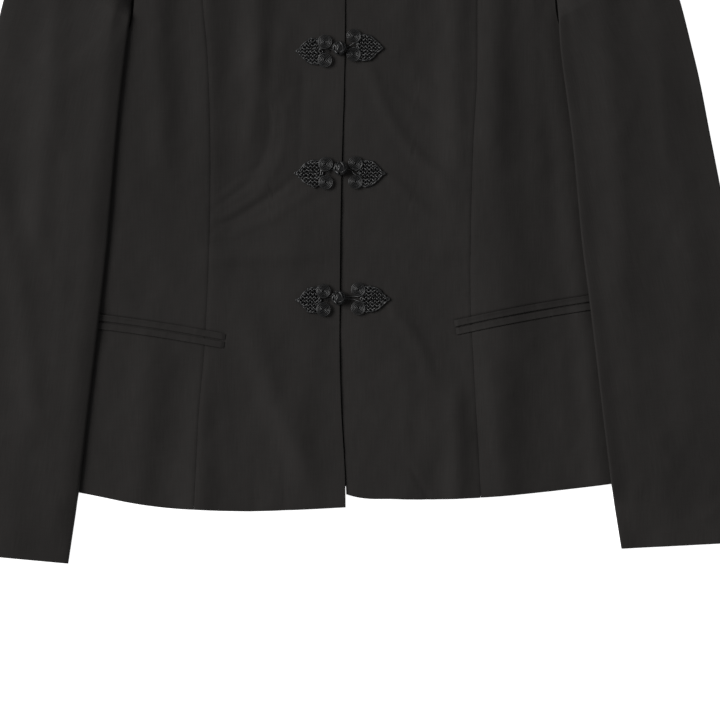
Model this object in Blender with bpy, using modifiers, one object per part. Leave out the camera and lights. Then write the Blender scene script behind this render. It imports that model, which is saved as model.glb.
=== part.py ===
"""A tang jacket laid flat on its back, front up, with its sleeves brought down over its sides.

Metres, with X from the wearer's right to the wearer's left, Y from hem to collar and Z up.
The tables measure X from the centre front and Y from the front hem. The last step moves every
piece so that the origin is under the middle of the jacket's box, on the surface it rests on.
"""

import math
from bisect import bisect
from collections import namedtuple

import bmesh
import bpy
import numpy as np
from mathutils import Matrix, Vector
from mathutils.bvhtree import BVHTree

CLOTH = 0.0015  # thickness of the cloth with its turnings
SEAM_GAP = 0.0003  # between pieces that are sewn or lie together
FRONT_LEVEL = CLOTH + SEAM_GAP  # the fronts lie on the back

NECK_HALF = 0.075  # half the width of the neck
NECK_TOP = 0.618  # high point of the shoulder
SHOULDER_HALF = 0.197
SHOULDER_TIP = 0.573
FRONT_NECK = 0.552  # lowest point of the front neckline
BACK_NECK = 0.600
COLLAR_HEIGHT = 0.040
COLLAR_LEAN = 0.005  # how far each side fold leans in towards the neck
NECK_STEPS = 8  # straight pieces that half the front neckline is drawn with
BACK_NECK_STEPS = 5
PANEL_ROWS = 21  # the same on both sides of a princess seam, so that their edges match
CENTRE_COLUMNS = 12
SIDE_COLUMNS = 10

BACK_HEM = 0.020  # the back is cut shorter than the fronts at the centre
BACK_HEM_RISE = 0.008  # and rises this much more at the side seams
BACK_HEM_SHARE = 0.985  # of the fronts' width at the hem

JET_WIDTH = 0.006
JET_DEPTH = 0.0010
JET_LENGTH = 0.130
JET_COLUMNS = 16
JET_REACH = 0.001  # a jet rests on the highest cloth this near each of its points
POCKET_SLIT = 0.0005
POCKET_BOW = 0.0012  # rise of the opening's middle above its ends

SLEEVE_ROUND = 0.0010  # rounding of a sleeve's folded edges
SLEEVE_COLUMNS = 10
SLEEVE_CLEAR = 0.0004  # between a sleeve and what it lies on
SLEEVE_FULLNESS = 0.0012  # how far a sleeve's two walls stand apart in the middle

CORD = 0.0018
KNOT_RADIUS = 0.0048
KNOT_HALF_HEIGHT = 0.0042
KNOT_CENTRE = 0.0060  # above the front
LOOP_RADIUS = 0.0050
COIL_RADIUS = 0.0065
COIL_HEIGHT = 0.0026
COIL_APART = 0.0083  # each coil's centre from the frog's own centre line
LEAF_LENGTH = 0.0295  # from the coils' centres to the tip
LEAF_HEIGHT = 0.0020
FROG_REACH = 0.010  # a frog rests on the highest cloth this near each of its points

# A front at one height: its own front edge, its princess seam, and its side seam or armhole.
Section = namedtuple("Section", "y edge princess side")
RIGHT_FRONT = [
    Section(-0.010, 0.0008, -0.1390, -0.266),
    Section(0.030, 0.0000, -0.1372, -0.262),
    Section(0.085, -0.0031, -0.1343, -0.256),
    Section(0.145, -0.0049, -0.1294, -0.250),
    Section(0.190, -0.0047, -0.1268, -0.246),
    Section(0.250, -0.0043, -0.1246, -0.242),
    Section(0.312, -0.0031, -0.1237, -0.240),
    Section(0.395, -0.0006, -0.1254, -0.240),
    Section(0.410, -0.0003, -0.1260, -0.219),
    Section(0.425, -0.0001, -0.1270, -0.206),
    Section(0.440, 0.0000, -0.1283, -0.198),
    Section(0.455, 0.0001, -0.1298, -0.1945),
    Section(0.470, 0.0002, -0.1308, -0.1935),
    Section(0.520, 0.0002, -0.1350, -0.1952),
    Section(0.620, 0.0002, -0.1380, -0.1986),
]
LEFT_FRONT = [
    Section(-0.010, 0.0020, 0.1256, 0.266),
    Section(0.053, -0.0002, 0.1224, 0.259),
    Section(0.113, -0.0036, 0.1191, 0.253),
    Section(0.155, -0.0041, 0.1168, 0.249),
    Section(0.187, -0.0039, 0.1153, 0.246),
    Section(0.260, -0.0034, 0.1155, 0.242),
    Section(0.339, -0.0013, 0.1178, 0.240),
    Section(0.395, 0.0001, 0.1210, 0.240),
    Section(0.410, 0.0004, 0.1213, 0.219),
    Section(0.425, 0.0006, 0.1214, 0.206),
    Section(0.440, 0.0007, 0.1214, 0.198),
    Section(0.455, 0.0008, 0.1214, 0.1942),
    Section(0.470, 0.0009, 0.1216, 0.1930),
    Section(0.520, 0.0009, 0.1270, 0.1952),
    Section(0.620, 0.0009, 0.1370, 0.1986),
]

# The front hems, from the centre out.
Hem = namedtuple("Hem", "x y")
RIGHT_HEM = [
    Hem(0.001, 0.0009),
    Hem(-0.047, -0.0015),
    Hem(-0.094, -0.0028),
    Hem(-0.136, -0.0015),
    Hem(-0.161, 0.0000),
    Hem(-0.245, 0.0143),
    Hem(-0.266, 0.0185),
]
LEFT_HEM = [
    Hem(0.001, 0.0130),
    Hem(0.010, 0.0105),
    Hem(0.046, 0.0085),
    Hem(0.121, 0.0096),
    Hem(0.190, 0.0156),
    Hem(0.245, 0.0221),
    Hem(0.266, 0.0250),
]

# A soft ridge along a line. Its height dies away across it and past its ends.
Fold = namedtuple("Fold", "x0 y0 x1 y1 width height")
RIGHT_FOLDS = [
    Fold(-0.003, 0.560, -0.001, 0.000, 0.014, 0.0009),
    Fold(-0.175, 0.560, -0.168, 0.335, 0.012, 0.0026),
    Fold(-0.137, 0.590, -0.131, 0.340, 0.009, 0.0014),
    Fold(-0.086, 0.590, -0.078, 0.430, 0.014, 0.0024),
    Fold(-0.118, 0.272, -0.058, 0.322, 0.011, 0.0014),
    Fold(-0.142, 0.070, -0.139, 0.000, 0.013, 0.0014),
    Fold(-0.042, 0.085, -0.038, 0.000, 0.014, 0.0014),
]
LEFT_FOLDS = [
    Fold(0.136, 0.585, 0.134, 0.345, 0.011, 0.0022),
    Fold(0.094, 0.560, 0.060, 0.345, 0.014, 0.0022),
    Fold(0.172, 0.560, 0.170, 0.390, 0.012, 0.0016),
    Fold(0.137, 0.085, 0.135, 0.010, 0.013, 0.0016),
    Fold(0.078, 0.060, 0.054, 0.012, 0.013, 0.0014),
]
RIGHT_SLEEVE_FOLDS = [
    Fold(-0.232, 0.480, -0.262, 0.180, 0.013, 0.0018),
    Fold(-0.282, 0.470, -0.318, 0.120, 0.016, 0.0022),
    Fold(-0.300, 0.060, -0.306, -0.020, 0.014, 0.0012),
]
LEFT_SLEEVE_FOLDS = [
    Fold(0.236, 0.480, 0.256, 0.240, 0.014, 0.0020),
    Fold(0.286, 0.460, 0.330, 0.100, 0.016, 0.0020),
    Fold(0.290, 0.050, 0.296, -0.020, 0.014, 0.0012),
]

# A sleeve across its width, from the armhole seam to the cuff: its edge over the body, its outer
# edge, and how far round each point it clears what lies below.
Ring = namedtuple("Ring", "inner_x inner_y outer_x outer_y reach")
RIGHT_SLEEVE = [
    Ring(-0.1946, 0.4700, -0.1980, 0.5730, 0.000),
    Ring(-0.1958, 0.4620, -0.2520, 0.5530, 0.001),
    Ring(-0.1970, 0.4500, -0.3010, 0.5020, 0.010),
    Ring(-0.2015, 0.4150, -0.3262, 0.4150, 0.024),
    Ring(-0.2088, 0.3478, -0.3400, 0.3450, 0.024),
    Ring(-0.2176, 0.2466, -0.3545, 0.2480, 0.016),
    Ring(-0.2259, 0.1711, -0.3650, 0.1750, 0.016),
    Ring(-0.2345, 0.0980, -0.3745, 0.1030, 0.016),
    Ring(-0.2429, 0.0258, -0.3830, 0.0340, 0.016),
    Ring(-0.2462, 0.0030, -0.3866, 0.0120, 0.016),
    Ring(-0.2543, -0.0510, -0.3930, -0.0380, 0.016),
]
LEFT_SLEEVE = [
    Ring(0.1942, 0.4700, 0.1980, 0.5730, 0.000),
    Ring(0.1952, 0.4620, 0.2520, 0.5530, 0.001),
    Ring(0.1960, 0.4500, 0.2950, 0.5020, 0.010),
    Ring(0.1984, 0.4150, 0.3210, 0.4150, 0.024),
    Ring(0.2088, 0.3358, 0.3375, 0.3340, 0.024),
    Ring(0.2171, 0.2466, 0.3548, 0.2460, 0.016),
    Ring(0.2243, 0.1900, 0.3665, 0.1900, 0.016),
    Ring(0.2345, 0.1040, 0.3800, 0.1060, 0.016),
    Ring(0.2430, 0.0330, 0.3890, 0.0400, 0.016),
    Ring(0.2462, 0.0110, 0.3905, 0.0180, 0.016),
    Ring(0.2539, -0.0373, 0.3930, -0.0300, 0.016),
]

# A pocket's opening: its end towards the centre front, and how far round from X it points.
Pocket = namedtuple("Pocket", "side x y angle")
POCKETS = [
    Pocket("right", -0.1105, 0.1536, math.radians(171.4)),
    Pocket("left", 0.1012, 0.1659, math.radians(10.5)),
]

# A frog, from the collar down: its knot's place across the front and the loop half's centre line,
# how far the knot and the knot half sit above that line, and how far the knot is from the coils of
# each half.
Frog = namedtuple("Frog", "x y knot_rise half_rise to_loop_coils to_stem_coils")
FROGS = [
    Frog(-0.0048, 0.5364, 0.0022, 0.0018, 0.0132, 0.0135),
    Frog(-0.0052, 0.4214, 0.0025, 0.0036, 0.0132, 0.0132),
    Frog(-0.0042, 0.3084, 0.0040, 0.0000, 0.0134, 0.0138),
    Frog(-0.0059, 0.1910, 0.0022, 0.0014, 0.0138, 0.0180),
]

# Half the height of a frog's leaf, from its coils (0) to its tip (1).
Leaf = namedtuple("Leaf", "along half")
LEAF = [
    Leaf(0.00, 0.0070),
    Leaf(0.22, 0.0118),
    Leaf(0.48, 0.0100),
    Leaf(0.72, 0.0058),
    Leaf(0.90, 0.0034),
    Leaf(1.00, 0.0012),
]

COLOURS = {"cloth": (0.021, 0.021, 0.022, 1), "cord": (0.010, 0.010, 0.011, 1)}
ROUGHNESS = {"cloth": 0.85, "cord": 0.45}


def clear_scene():
    for obj in list(bpy.data.objects):
        bpy.data.objects.remove(obj, do_unlink=True)


def new_collection(name):
    collection = bpy.data.collections.new(name)
    bpy.context.scene.collection.children.link(collection)
    return collection


def new_material(name, kind):
    material = bpy.data.materials.new(name)
    material.use_nodes = True
    shader = material.node_tree.nodes["Principled BSDF"]
    shader.inputs["Base Color"].default_value = COLOURS[kind]
    shader.inputs["Roughness"].default_value = ROUGHNESS[kind]
    return material


def new_piece(name, mesh, kind, collection):
    """An object of the jacket with its own material."""
    piece = bpy.data.objects.new(name, mesh)
    mesh.name = name
    mesh.materials.clear()
    mesh.materials.append(new_material(name, kind))
    collection.objects.link(piece)
    return piece


def finished(shape, name):
    """The mesh of a bmesh that is done with."""
    mesh = bpy.data.meshes.new(name)
    shape.to_mesh(mesh)
    shape.free()
    return mesh


def evaluated_mesh(obj):
    bpy.context.view_layer.update()
    graph = bpy.context.evaluated_depsgraph_get()
    return bpy.data.meshes.new_from_object(obj.evaluated_get(graph))


def curve_mesh(points, collection, **settings):
    """A mesh from a closed curve through the points: a plate in its outline, or a cord along it."""
    curve = bpy.data.curves.new("guide", "CURVE")
    spline = curve.splines.new("POLY")
    spline.points.add(len(points) - 1)
    for point, place in zip(spline.points, points):
        point.co = (*place, 1)
    spline.use_cyclic_u = True
    for setting, value in settings.items():
        setattr(curve, setting, value)
    guide = bpy.data.objects.new("guide", curve)
    collection.objects.link(guide)
    converted = evaluated_mesh(guide)
    bpy.data.objects.remove(guide)
    shape = bmesh.new()
    shape.from_mesh(converted)
    bmesh.ops.remove_doubles(shape, verts=shape.verts, dist=1e-5)
    bmesh.ops.recalc_face_normals(shape, faces=shape.faces)
    return finished(shape, "guide")


def plate(outline, thickness, collection):
    """A flat plate that stands on Z = 0."""
    points = [(x, y, 0) for x, y in outline]
    mesh = curve_mesh(points, collection, dimensions="2D", fill_mode="BOTH", extrude=thickness / 2)
    mesh.transform(Matrix.Translation((0, 0, thickness / 2)))
    return mesh


def eased(values, slopes, i, t, span=1.0):
    """A smooth value between values i and i + 1, at share t of the way."""
    return (
        values[i] * (1 + 2 * t) * (1 - t) ** 2
        + values[i + 1] * (3 - 2 * t) * t**2
        + span * t * (1 - t) * (slopes[i] * (1 - t) - slopes[i + 1] * t)
    )


def reading(rows, column, at, by="y"):
    """The column's value on a smooth curve through the table's rows."""
    rows = sorted(rows, key=lambda row: getattr(row, by))
    places = [getattr(row, by) for row in rows]
    values = [getattr(row, column) for row in rows]
    i = min(max(bisect(places, at) - 1, 0), len(rows) - 2)
    span = places[i + 1] - places[i]
    share = min(max((at - places[i]) / span, 0), 1)
    return eased(values, np.gradient(values, places), i, share, span)


def neck_point(turn, lowest):
    """A point on half a neckline, a quarter ellipse, from the centre (turn 0) to the shoulder."""
    return NECK_HALF * math.sin(turn), lowest + (NECK_TOP - lowest) * (1 - math.cos(turn))


def upper_edge(x):
    """Height of a front's upper edge: its neckline, then its shoulder seam."""
    share = abs(x) / NECK_HALF
    if share < 1:
        return neck_point(math.asin(share), FRONT_NECK)[1]
    down = (abs(x) - NECK_HALF) / (SHOULDER_HALF - NECK_HALF)
    return NECK_TOP + down * (SHOULDER_TIP - NECK_TOP)


def fold_height(folds, x, y):
    """How far the cloth is lifted by its folds."""
    lift = 0.0
    for fold in folds:
        start = Vector((fold.x0, fold.y0))
        line = Vector((fold.x1, fold.y1)) - start
        place = Vector((x, y)) - start
        share = place.dot(line) / line.length_squared
        past = max(-share, share - 1, 0) * line.length
        across = (place - share * line).length
        lift += fold.height * math.exp(-((across / fold.width) ** 2) - (past / (2 * fold.width)) ** 2)
    return lift


def sheet(name, collection, columns, rows, place, thickness):
    """A sheet of cloth above a grid whose point (u, v) is put at place(u, v)."""
    grid = bmesh.new()
    bmesh.ops.create_grid(grid, x_segments=columns, y_segments=rows, size=0.5)
    for point in grid.verts:
        point.co = place(point.co.x + 0.5, point.co.y + 0.5)
    grid.normal_update()
    if grid.faces[:][0].normal.z < 0:
        bmesh.ops.reverse_faces(grid, faces=grid.faces)
    piece = new_piece(name, finished(grid, name), "cloth", collection)
    shell = piece.modifiers.new("thickness", "SOLIDIFY")
    shell.thickness = thickness
    shell.offset = 1
    return piece


def centre_share(step, sections):
    """How far across the centre panel a column stands: in equal turns round the neck, then evenly."""
    width = abs(reading(sections, "princess", SHOULDER_TIP))
    if step <= NECK_STEPS:
        return neck_point(step / NECK_STEPS * math.pi / 2, FRONT_NECK)[0] / width
    past = (step - NECK_STEPS) / (CENTRE_COLUMNS - NECK_STEPS)
    return (NECK_HALF + past * (width - NECK_HALF)) / width


def front_panel(name, sections, hem, folds, near, far, collection):
    """A panel of one front between two of its columns, cut to the hem and to the neck or shoulder."""
    outward = math.copysign(1, sections[0].side)
    half_gap = outward * SEAM_GAP / 2
    columns = CENTRE_COLUMNS if near == "edge" else SIDE_COLUMNS

    def across(y, share):
        inner = reading(sections, near, y) + (half_gap if near == "princess" else 0)
        outer = reading(sections, far, y) - (half_gap if far == "princess" else 0)
        return inner + share * (outer - inner)

    def place(u, v):
        share = centre_share(u * columns, sections) if near == "edge" else u
        bottom = reading(hem, "y", across(0, share), by="x")
        y = bottom + v * (upper_edge(across(SHOULDER_TIP, share)) - bottom)
        x = across(y, share)
        return Vector((x, y, FRONT_LEVEL + fold_height(folds, x, y)))

    return sheet(name, collection, columns, PANEL_ROWS, place, CLOTH)


def back(collection):
    """The plain back, one flat piece under both fronts."""
    heights = [row.y for row in RIGHT_FRONT if BACK_HEM + BACK_HEM_RISE < row.y < SHOULDER_TIP]
    right_side = [(reading(RIGHT_FRONT, "side", y), y) for y in heights]
    left_side = [(reading(LEFT_FRONT, "side", y), y) for y in reversed(heights)]
    hem = [
        (share * abs(RIGHT_FRONT[0].side), BACK_HEM + BACK_HEM_RISE * share**2)
        for share in np.linspace(BACK_HEM_SHARE, -BACK_HEM_SHARE, 9)
    ]
    turns = np.linspace(-math.pi / 2, math.pi / 2, 2 * BACK_NECK_STEPS + 1)
    neck = [neck_point(turn, BACK_NECK) for turn in turns]
    right_tip, left_tip = (-SHOULDER_HALF, SHOULDER_TIP), (SHOULDER_HALF, SHOULDER_TIP)
    outline = [*hem, *right_side, right_tip, *neck, left_tip, *left_side]
    return new_piece("back", plate(outline, CLOTH, collection), "cloth", collection)


class Surface:
    """The upper surface of some pieces, read by dropping a line onto them."""

    def __init__(self, pieces):
        self.trees = []
        for piece in pieces:
            mesh = evaluated_mesh(piece)
            points = [point.co.copy() for point in mesh.vertices]
            faces = [tuple(face.vertices) for face in mesh.polygons]
            self.trees.append(BVHTree.FromPolygons(points, faces))

    def height(self, x, y, reach=0.0):
        """The highest point at (x, y) and within reach of it, or 0 off every piece."""
        turns = np.linspace(0, 2 * math.pi, 12, endpoint=False) if reach > 0 else []
        around = [(0.0, 0.0)]
        for radius in (reach / 2, reach):
            around += [(radius * math.cos(turn), radius * math.sin(turn)) for turn in turns]
        highest = 0.0
        for dx, dy in around:
            for tree in self.trees:
                hit = tree.ray_cast(Vector((x + dx, y + dy, 1)), Vector((0, 0, -1)))[0]
                if hit:
                    highest = max(highest, hit.z)
        return highest


def pocket_jet(name, pocket, is_lower, surface, collection):
    """One folded strip along a pocket's opening, on the panels that it crosses."""
    along = Vector((math.cos(pocket.angle), math.sin(pocket.angle)))
    upward = Vector((-along.y, along.x)) * math.copysign(1, along.x)

    def place(u, v):
        across = POCKET_SLIT / 2 + v * JET_WIDTH
        bow = POCKET_BOW * math.sin(math.pi * u)
        spot = Vector((pocket.x, pocket.y)) + u * JET_LENGTH * along
        spot += upward * (bow + (-across if is_lower else across))
        return Vector((spot.x, spot.y, surface.height(spot.x, spot.y, JET_REACH) + SEAM_GAP))

    return sheet(name, collection, JET_COLUMNS, 1, place, JET_DEPTH)


def sleeve_stations(rings):
    """The table's rings with one more, on a smooth curve, between each two of them."""
    columns = [[getattr(ring, column) for ring in rings] for column in Ring._fields]
    stations = []
    for at in np.arange(0, len(rings) - 0.5, 0.5):
        i = min(int(at), len(rings) - 2)
        stations.append(Ring(*(eased(values, np.gradient(values), i, at - i) for values in columns)))
    return stations


def sleeve_loops(ring, folds, surface):
    """The outer and the inner loop of a flattened sleeve at one ring."""
    start = Vector((ring.inner_x, ring.inner_y))
    line = Vector((ring.outer_x, ring.outer_y)) - start
    rounding = SLEEVE_ROUND / line.length
    shares = np.linspace(rounding, 1 - rounding, SLEEVE_COLUMNS + 1).tolist()

    lower, upper = [], []
    for share in shares:
        spot = start + share * line
        ground = surface.height(spot.x, spot.y, max(ring.reach, 0))
        lower.append(ground + SLEEVE_CLEAR if ground else 0.0)
    for i, share in enumerate(shares):
        spot = start + share * line
        nearby = lower[max(i - 2, 0) : i + 3]
        level = max(lower[i], sum(nearby) / len(nearby)) + 2 * CLOTH + SEAM_GAP
        middle = math.sin(math.pi * share)
        folded = fold_height(folds, spot.x, spot.y) * math.sqrt(middle)
        upper.append(level + SLEEVE_FULLNESS * middle + folded)

    def loop(wall, edge_round):
        side = wall / line.length
        corner = (wall + edge_round) / line.length
        inner_shares = [corner, *shares[1:-1], 1 - corner]
        low = [(*(start + share * line), z + wall) for share, z in zip(inner_shares, lower)]
        high = [(*(start + share * line), z - wall) for share, z in zip(inner_shares, upper)]
        near_side = (*(start + side * line), (lower[0] + upper[0]) / 2)
        far_side = (*(start + (1 - side) * line), (lower[-1] + upper[-1]) / 2)
        return [*low, far_side, *reversed(high), near_side]

    return loop(0, SLEEVE_ROUND), loop(CLOTH, SLEEVE_ROUND / 2)


def sleeve(name, rings, folds, surface, collection):
    """A tube of cloth lofted through its flattened rings, open at the armhole and the cuff."""
    shape = bmesh.new()
    loops = [sleeve_loops(ring, folds, surface) for ring in sleeve_stations(rings)]
    outer, inner = ([[shape.verts.new(point) for point in pair[skin]] for pair in loops] for skin in (0, 1))
    bands = [*zip(outer, outer[1:]), *zip(inner, inner[1:]), (outer[0], inner[0]), (outer[-1], inner[-1])]
    for first, second in bands:
        for i in range(len(first)):
            shape.faces.new((first[i - 1], first[i], second[i], second[i - 1]))
    bmesh.ops.recalc_face_normals(shape, faces=shape.faces)
    return new_piece(name, finished(shape, name), "cloth", collection)


def collar_stops():
    """Places (x, y, z) along half the foot of the collar, from the centre front to the centre back."""
    inside = SEAM_GAP + CLOTH / 2
    radius = CLOTH / 2 + SEAM_GAP  # of the fold at the side of the neck
    low, high = CLOTH / 2, CLOTH / 2 + 2 * radius
    quarter = math.pi / 2

    def foot(turn, lowest, level):
        x, y = neck_point(turn, lowest)
        return x - inside * math.sin(turn), y + inside, level

    stops = [foot(turn, FRONT_NECK, high) for turn in np.linspace(0.004, quarter, NECK_STEPS + 1)]
    side_x, side_y, _ = stops[-1]
    for turn in np.linspace(0, math.pi, 6)[1:-1]:
        stops.append((side_x + radius * math.sin(turn), side_y, low + radius * (1 + math.cos(turn))))
    stops += [foot(turn, BACK_NECK, low) for turn in np.linspace(quarter, 0, BACK_NECK_STEPS + 1)]
    return stops


def collar(collection):
    """The stand collar: one band round the neck, open at the centre front and folded at each side."""
    half = collar_stops()
    feet = [(-x, y, z) for x, y, z in half[:-1]] + half[::-1]

    def place(u, v):
        x, y, z = feet[round(u * (len(feet) - 1))]
        lean = v * COLLAR_LEAN * (x / NECK_HALF) * abs(x / NECK_HALF)
        return Vector((x - lean, y + v * COLLAR_HEIGHT, z))

    band = sheet("collar", collection, len(feet) - 1, 2, place, CLOTH)
    band.modifiers["thickness"].offset = 0
    return band


def linked(mesh, collection):
    """A helper object, which is joined into a piece and then removed."""
    helper = bpy.data.objects.new(mesh.name, mesh)
    helper.hide_render = True
    helper.display_type = "WIRE"
    collection.objects.link(helper)
    return helper


def disc(x, y, radius, height, sides):
    shape = bmesh.new()
    place = Matrix.Translation((x, y, height / 2))
    size = {"radius1": radius, "radius2": radius, "depth": height}
    bmesh.ops.create_cone(shape, cap_ends=True, segments=sides, matrix=place, **size)
    return finished(shape, "disc")


def strands(x0, x1, y):
    """Two cords side by side, as a bar."""
    shape = bmesh.new()
    height = 0.85 * CORD
    place = Matrix.Translation(((x0 + x1) / 2, y, height / 2))
    bmesh.ops.create_cube(shape, size=1, matrix=place @ Matrix.Diagonal((x1 - x0, 2 * CORD, height, 1)))
    return finished(shape, "strands")


def ball(x, y):
    shape = bmesh.new()
    place = Matrix.Translation((x, y, KNOT_CENTRE))
    scale = Matrix.Diagonal((KNOT_RADIUS, KNOT_RADIUS, KNOT_HALF_HEIGHT, 1))
    bmesh.ops.create_uvsphere(shape, u_segments=12, v_segments=7, radius=1, matrix=place @ scale)
    return finished(shape, "ball")


def loop_ring(x, y, collection):
    """The loop round the knot's neck, which climbs over the stem on its far side."""
    low = CORD / 2
    high = low + CORD + 2 * SEAM_GAP
    points = []
    for turn in np.linspace(0, 2 * math.pi, 18, endpoint=False):
        climb = (1 + math.cos(turn)) / 2
        across, up = LOOP_RADIUS * math.cos(turn), LOOP_RADIUS * math.sin(turn)
        points.append((x + across, y + up, low + climb * (high - low)))
    return curve_mesh(points, collection, dimensions="3D", bevel_depth=0.45 * CORD, bevel_resolution=1)


def united(meshes, collection):
    """One closed mesh from closed meshes that overlap."""
    base, *others = [linked(mesh, collection) for mesh in meshes]
    for other in others:
        join = base.modifiers.new("join", "BOOLEAN")
        join.operation = "UNION"
        join.object = other
    mesh = evaluated_mesh(base)
    for helper in (base, *others):
        bpy.data.objects.remove(helper)
    return mesh


def frog_half(name, frog, has_knot, surface, jacket, helpers):
    """Half a frog, made flat and then laid on the fronts."""
    towards = 1 if has_knot else -1
    coils_x = frog.x + towards * (frog.to_stem_coils if has_knot else frog.to_loop_coils)
    middle_y = frog.y + (frog.half_rise if has_knot else 0)
    knot_y = frog.y + frog.knot_rise
    upper = [(coils_x + towards * row.along * LEAF_LENGTH, middle_y + row.half) for row in LEAF]
    lower = [(x, 2 * middle_y - y) for x, y in reversed(upper)]
    meshes = [plate(upper + lower, LEAF_HEIGHT, helpers)]
    for side in (-1, 1):
        meshes.append(disc(coils_x, middle_y + side * COIL_APART, COIL_RADIUS, COIL_HEIGHT, 14))
    if has_knot:
        meshes.append(strands(frog.x - CORD, coils_x + CORD, knot_y))
        meshes += [disc(frog.x, knot_y, 0.8 * CORD, KNOT_CENTRE, 8), ball(frog.x, knot_y)]
    else:
        meshes.append(strands(coils_x - CORD, frog.x - LOOP_RADIUS, knot_y))
        meshes.append(loop_ring(frog.x, knot_y, helpers))
    mesh = united(meshes, helpers)
    for point in mesh.vertices:
        point.co.z += SEAM_GAP + surface.height(point.co.x, point.co.y, FROG_REACH)
    return new_piece(name, mesh, "cord", jacket)


def move_to_origin(collection):
    """Puts the middle of the jacket's box over the origin."""
    bpy.context.view_layer.update()
    graph = bpy.context.evaluated_depsgraph_get()
    corners = [corner for piece in collection.objects for corner in piece.evaluated_get(graph).bound_box]
    middle = [
        (min(corner[axis] for corner in corners) + max(corner[axis] for corner in corners)) / 2
        for axis in (0, 1)
    ]
    for piece in collection.objects:
        piece.data.transform(Matrix.Translation((-middle[0], -middle[1], 0)))
    print(f"centre front at x = {-middle[0]:.5f}, front hem at y = {-middle[1]:.5f}")


def build():
    clear_scene()
    jacket = new_collection("tang_jacket")
    helpers = new_collection("helpers")

    body = [back(jacket)]
    fronts = (("right", RIGHT_FRONT, RIGHT_HEM, RIGHT_FOLDS), ("left", LEFT_FRONT, LEFT_HEM, LEFT_FOLDS))
    for side, sections, hem, folds in fronts:
        body.append(front_panel(f"front_centre_{side}", sections, hem, folds, "edge", "princess", jacket))
        body.append(front_panel(f"front_side_{side}", sections, hem, folds, "princess", "side", jacket))
    panels = Surface(body)

    for pocket in POCKETS:
        body.append(pocket_jet(f"pocket_jet_upper_{pocket.side}", pocket, False, panels, jacket))
        body.append(pocket_jet(f"pocket_jet_lower_{pocket.side}", pocket, True, panels, jacket))
    under_sleeves = Surface(body)
    sleeve("sleeve_right", RIGHT_SLEEVE, RIGHT_SLEEVE_FOLDS, under_sleeves, jacket)
    sleeve("sleeve_left", LEFT_SLEEVE, LEFT_SLEEVE_FOLDS, under_sleeves, jacket)
    collar(jacket)

    for number, frog in enumerate(FROGS, start=1):
        frog_half(f"frog_{number}_loop", frog, False, panels, jacket, helpers)
        frog_half(f"frog_{number}_knot", frog, True, panels, jacket, helpers)
    move_to_origin(jacket)


build()
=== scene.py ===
# %% [markdown]
# # A tang jacket, laid flat
#
# The real jacket is cut from near-black plain-weave cloth with fine slubs. Each front is a centre
# panel and a side panel, joined by a princess seam. The fronts meet under four frogs, which are
# plaited and wound from black satin cord. Here the jacket lies on its back with its sleeves brought
# down over its sides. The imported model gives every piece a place. This script makes each piece again
# as a thin shell of cloth or as real cord, and hides the plain solid that it stands for.

# %% Load the frame and the tools
import math
from collections import namedtuple

import bmesh
import bpy
import numpy as np
from mathutils import Matrix, Vector
from mathutils.bvhtree import BVHTree


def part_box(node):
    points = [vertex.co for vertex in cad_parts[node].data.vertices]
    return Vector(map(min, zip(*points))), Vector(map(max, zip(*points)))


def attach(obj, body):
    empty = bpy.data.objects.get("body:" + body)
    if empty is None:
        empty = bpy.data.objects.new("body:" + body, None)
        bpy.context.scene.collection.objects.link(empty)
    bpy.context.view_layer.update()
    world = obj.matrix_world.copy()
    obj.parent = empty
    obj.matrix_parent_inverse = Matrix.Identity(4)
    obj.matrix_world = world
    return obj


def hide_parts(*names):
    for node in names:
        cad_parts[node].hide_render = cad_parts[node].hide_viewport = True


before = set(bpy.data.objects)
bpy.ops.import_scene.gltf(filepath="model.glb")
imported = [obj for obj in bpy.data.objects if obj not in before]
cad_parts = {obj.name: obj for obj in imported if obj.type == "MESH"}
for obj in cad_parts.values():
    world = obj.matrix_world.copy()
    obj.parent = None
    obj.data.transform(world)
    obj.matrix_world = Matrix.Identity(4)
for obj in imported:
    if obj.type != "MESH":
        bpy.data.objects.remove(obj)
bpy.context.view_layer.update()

# %% [markdown]
# ## The sizes of the jacket
#
# A garment is easiest to measure from its own centre front (X = 0) and front hem (Y = 0), so the
# tables below do that, in metres. The frame has its origin elsewhere, and the back's upper edge is
# the same line in both, which gives the step from one to the other. Every mesh is moved by that step
# when the jacket is finished.

# %% Sizes that several pieces share
CLOTH = 0.0015  # the cloth with its turnings
SEAM_GAP = 0.0003
FRONT_LEVEL = CLOTH + SEAM_GAP  # the fronts lie on the back
NECK_HALF = 0.075
NECK_TOP = 0.618
SHOULDER_HALF = 0.197
SHOULDER_TIP = 0.573
FRONT_NECK = 0.552
BACK_NECK = 0.600
TO_FRAME = Vector((0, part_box("back")[1].y - NECK_TOP, 0))
print(f"front hem at y = {TO_FRAME.y:.4f} m in the frame")

# %% The outlines of the two fronts
# At one height: a front's own front edge, its princess seam, and its side seam or armhole.
Section = namedtuple("Section", "y edge princess side")
RIGHT_FRONT = [
    Section(-0.010, 0.0008, -0.1390, -0.266),
    Section(0.030, 0.0000, -0.1372, -0.262),
    Section(0.085, -0.0031, -0.1343, -0.256),
    Section(0.145, -0.0049, -0.1294, -0.250),
    Section(0.190, -0.0047, -0.1268, -0.246),
    Section(0.250, -0.0043, -0.1246, -0.242),
    Section(0.312, -0.0031, -0.1237, -0.240),
    Section(0.395, -0.0006, -0.1254, -0.240),
    Section(0.410, -0.0003, -0.1260, -0.219),
    Section(0.425, -0.0001, -0.1270, -0.206),
    Section(0.440, 0.0000, -0.1283, -0.198),
    Section(0.455, 0.0001, -0.1298, -0.1945),
    Section(0.470, 0.0002, -0.1308, -0.1935),
    Section(0.520, 0.0002, -0.1350, -0.1952),
    Section(0.620, 0.0002, -0.1380, -0.1986),
]
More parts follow.
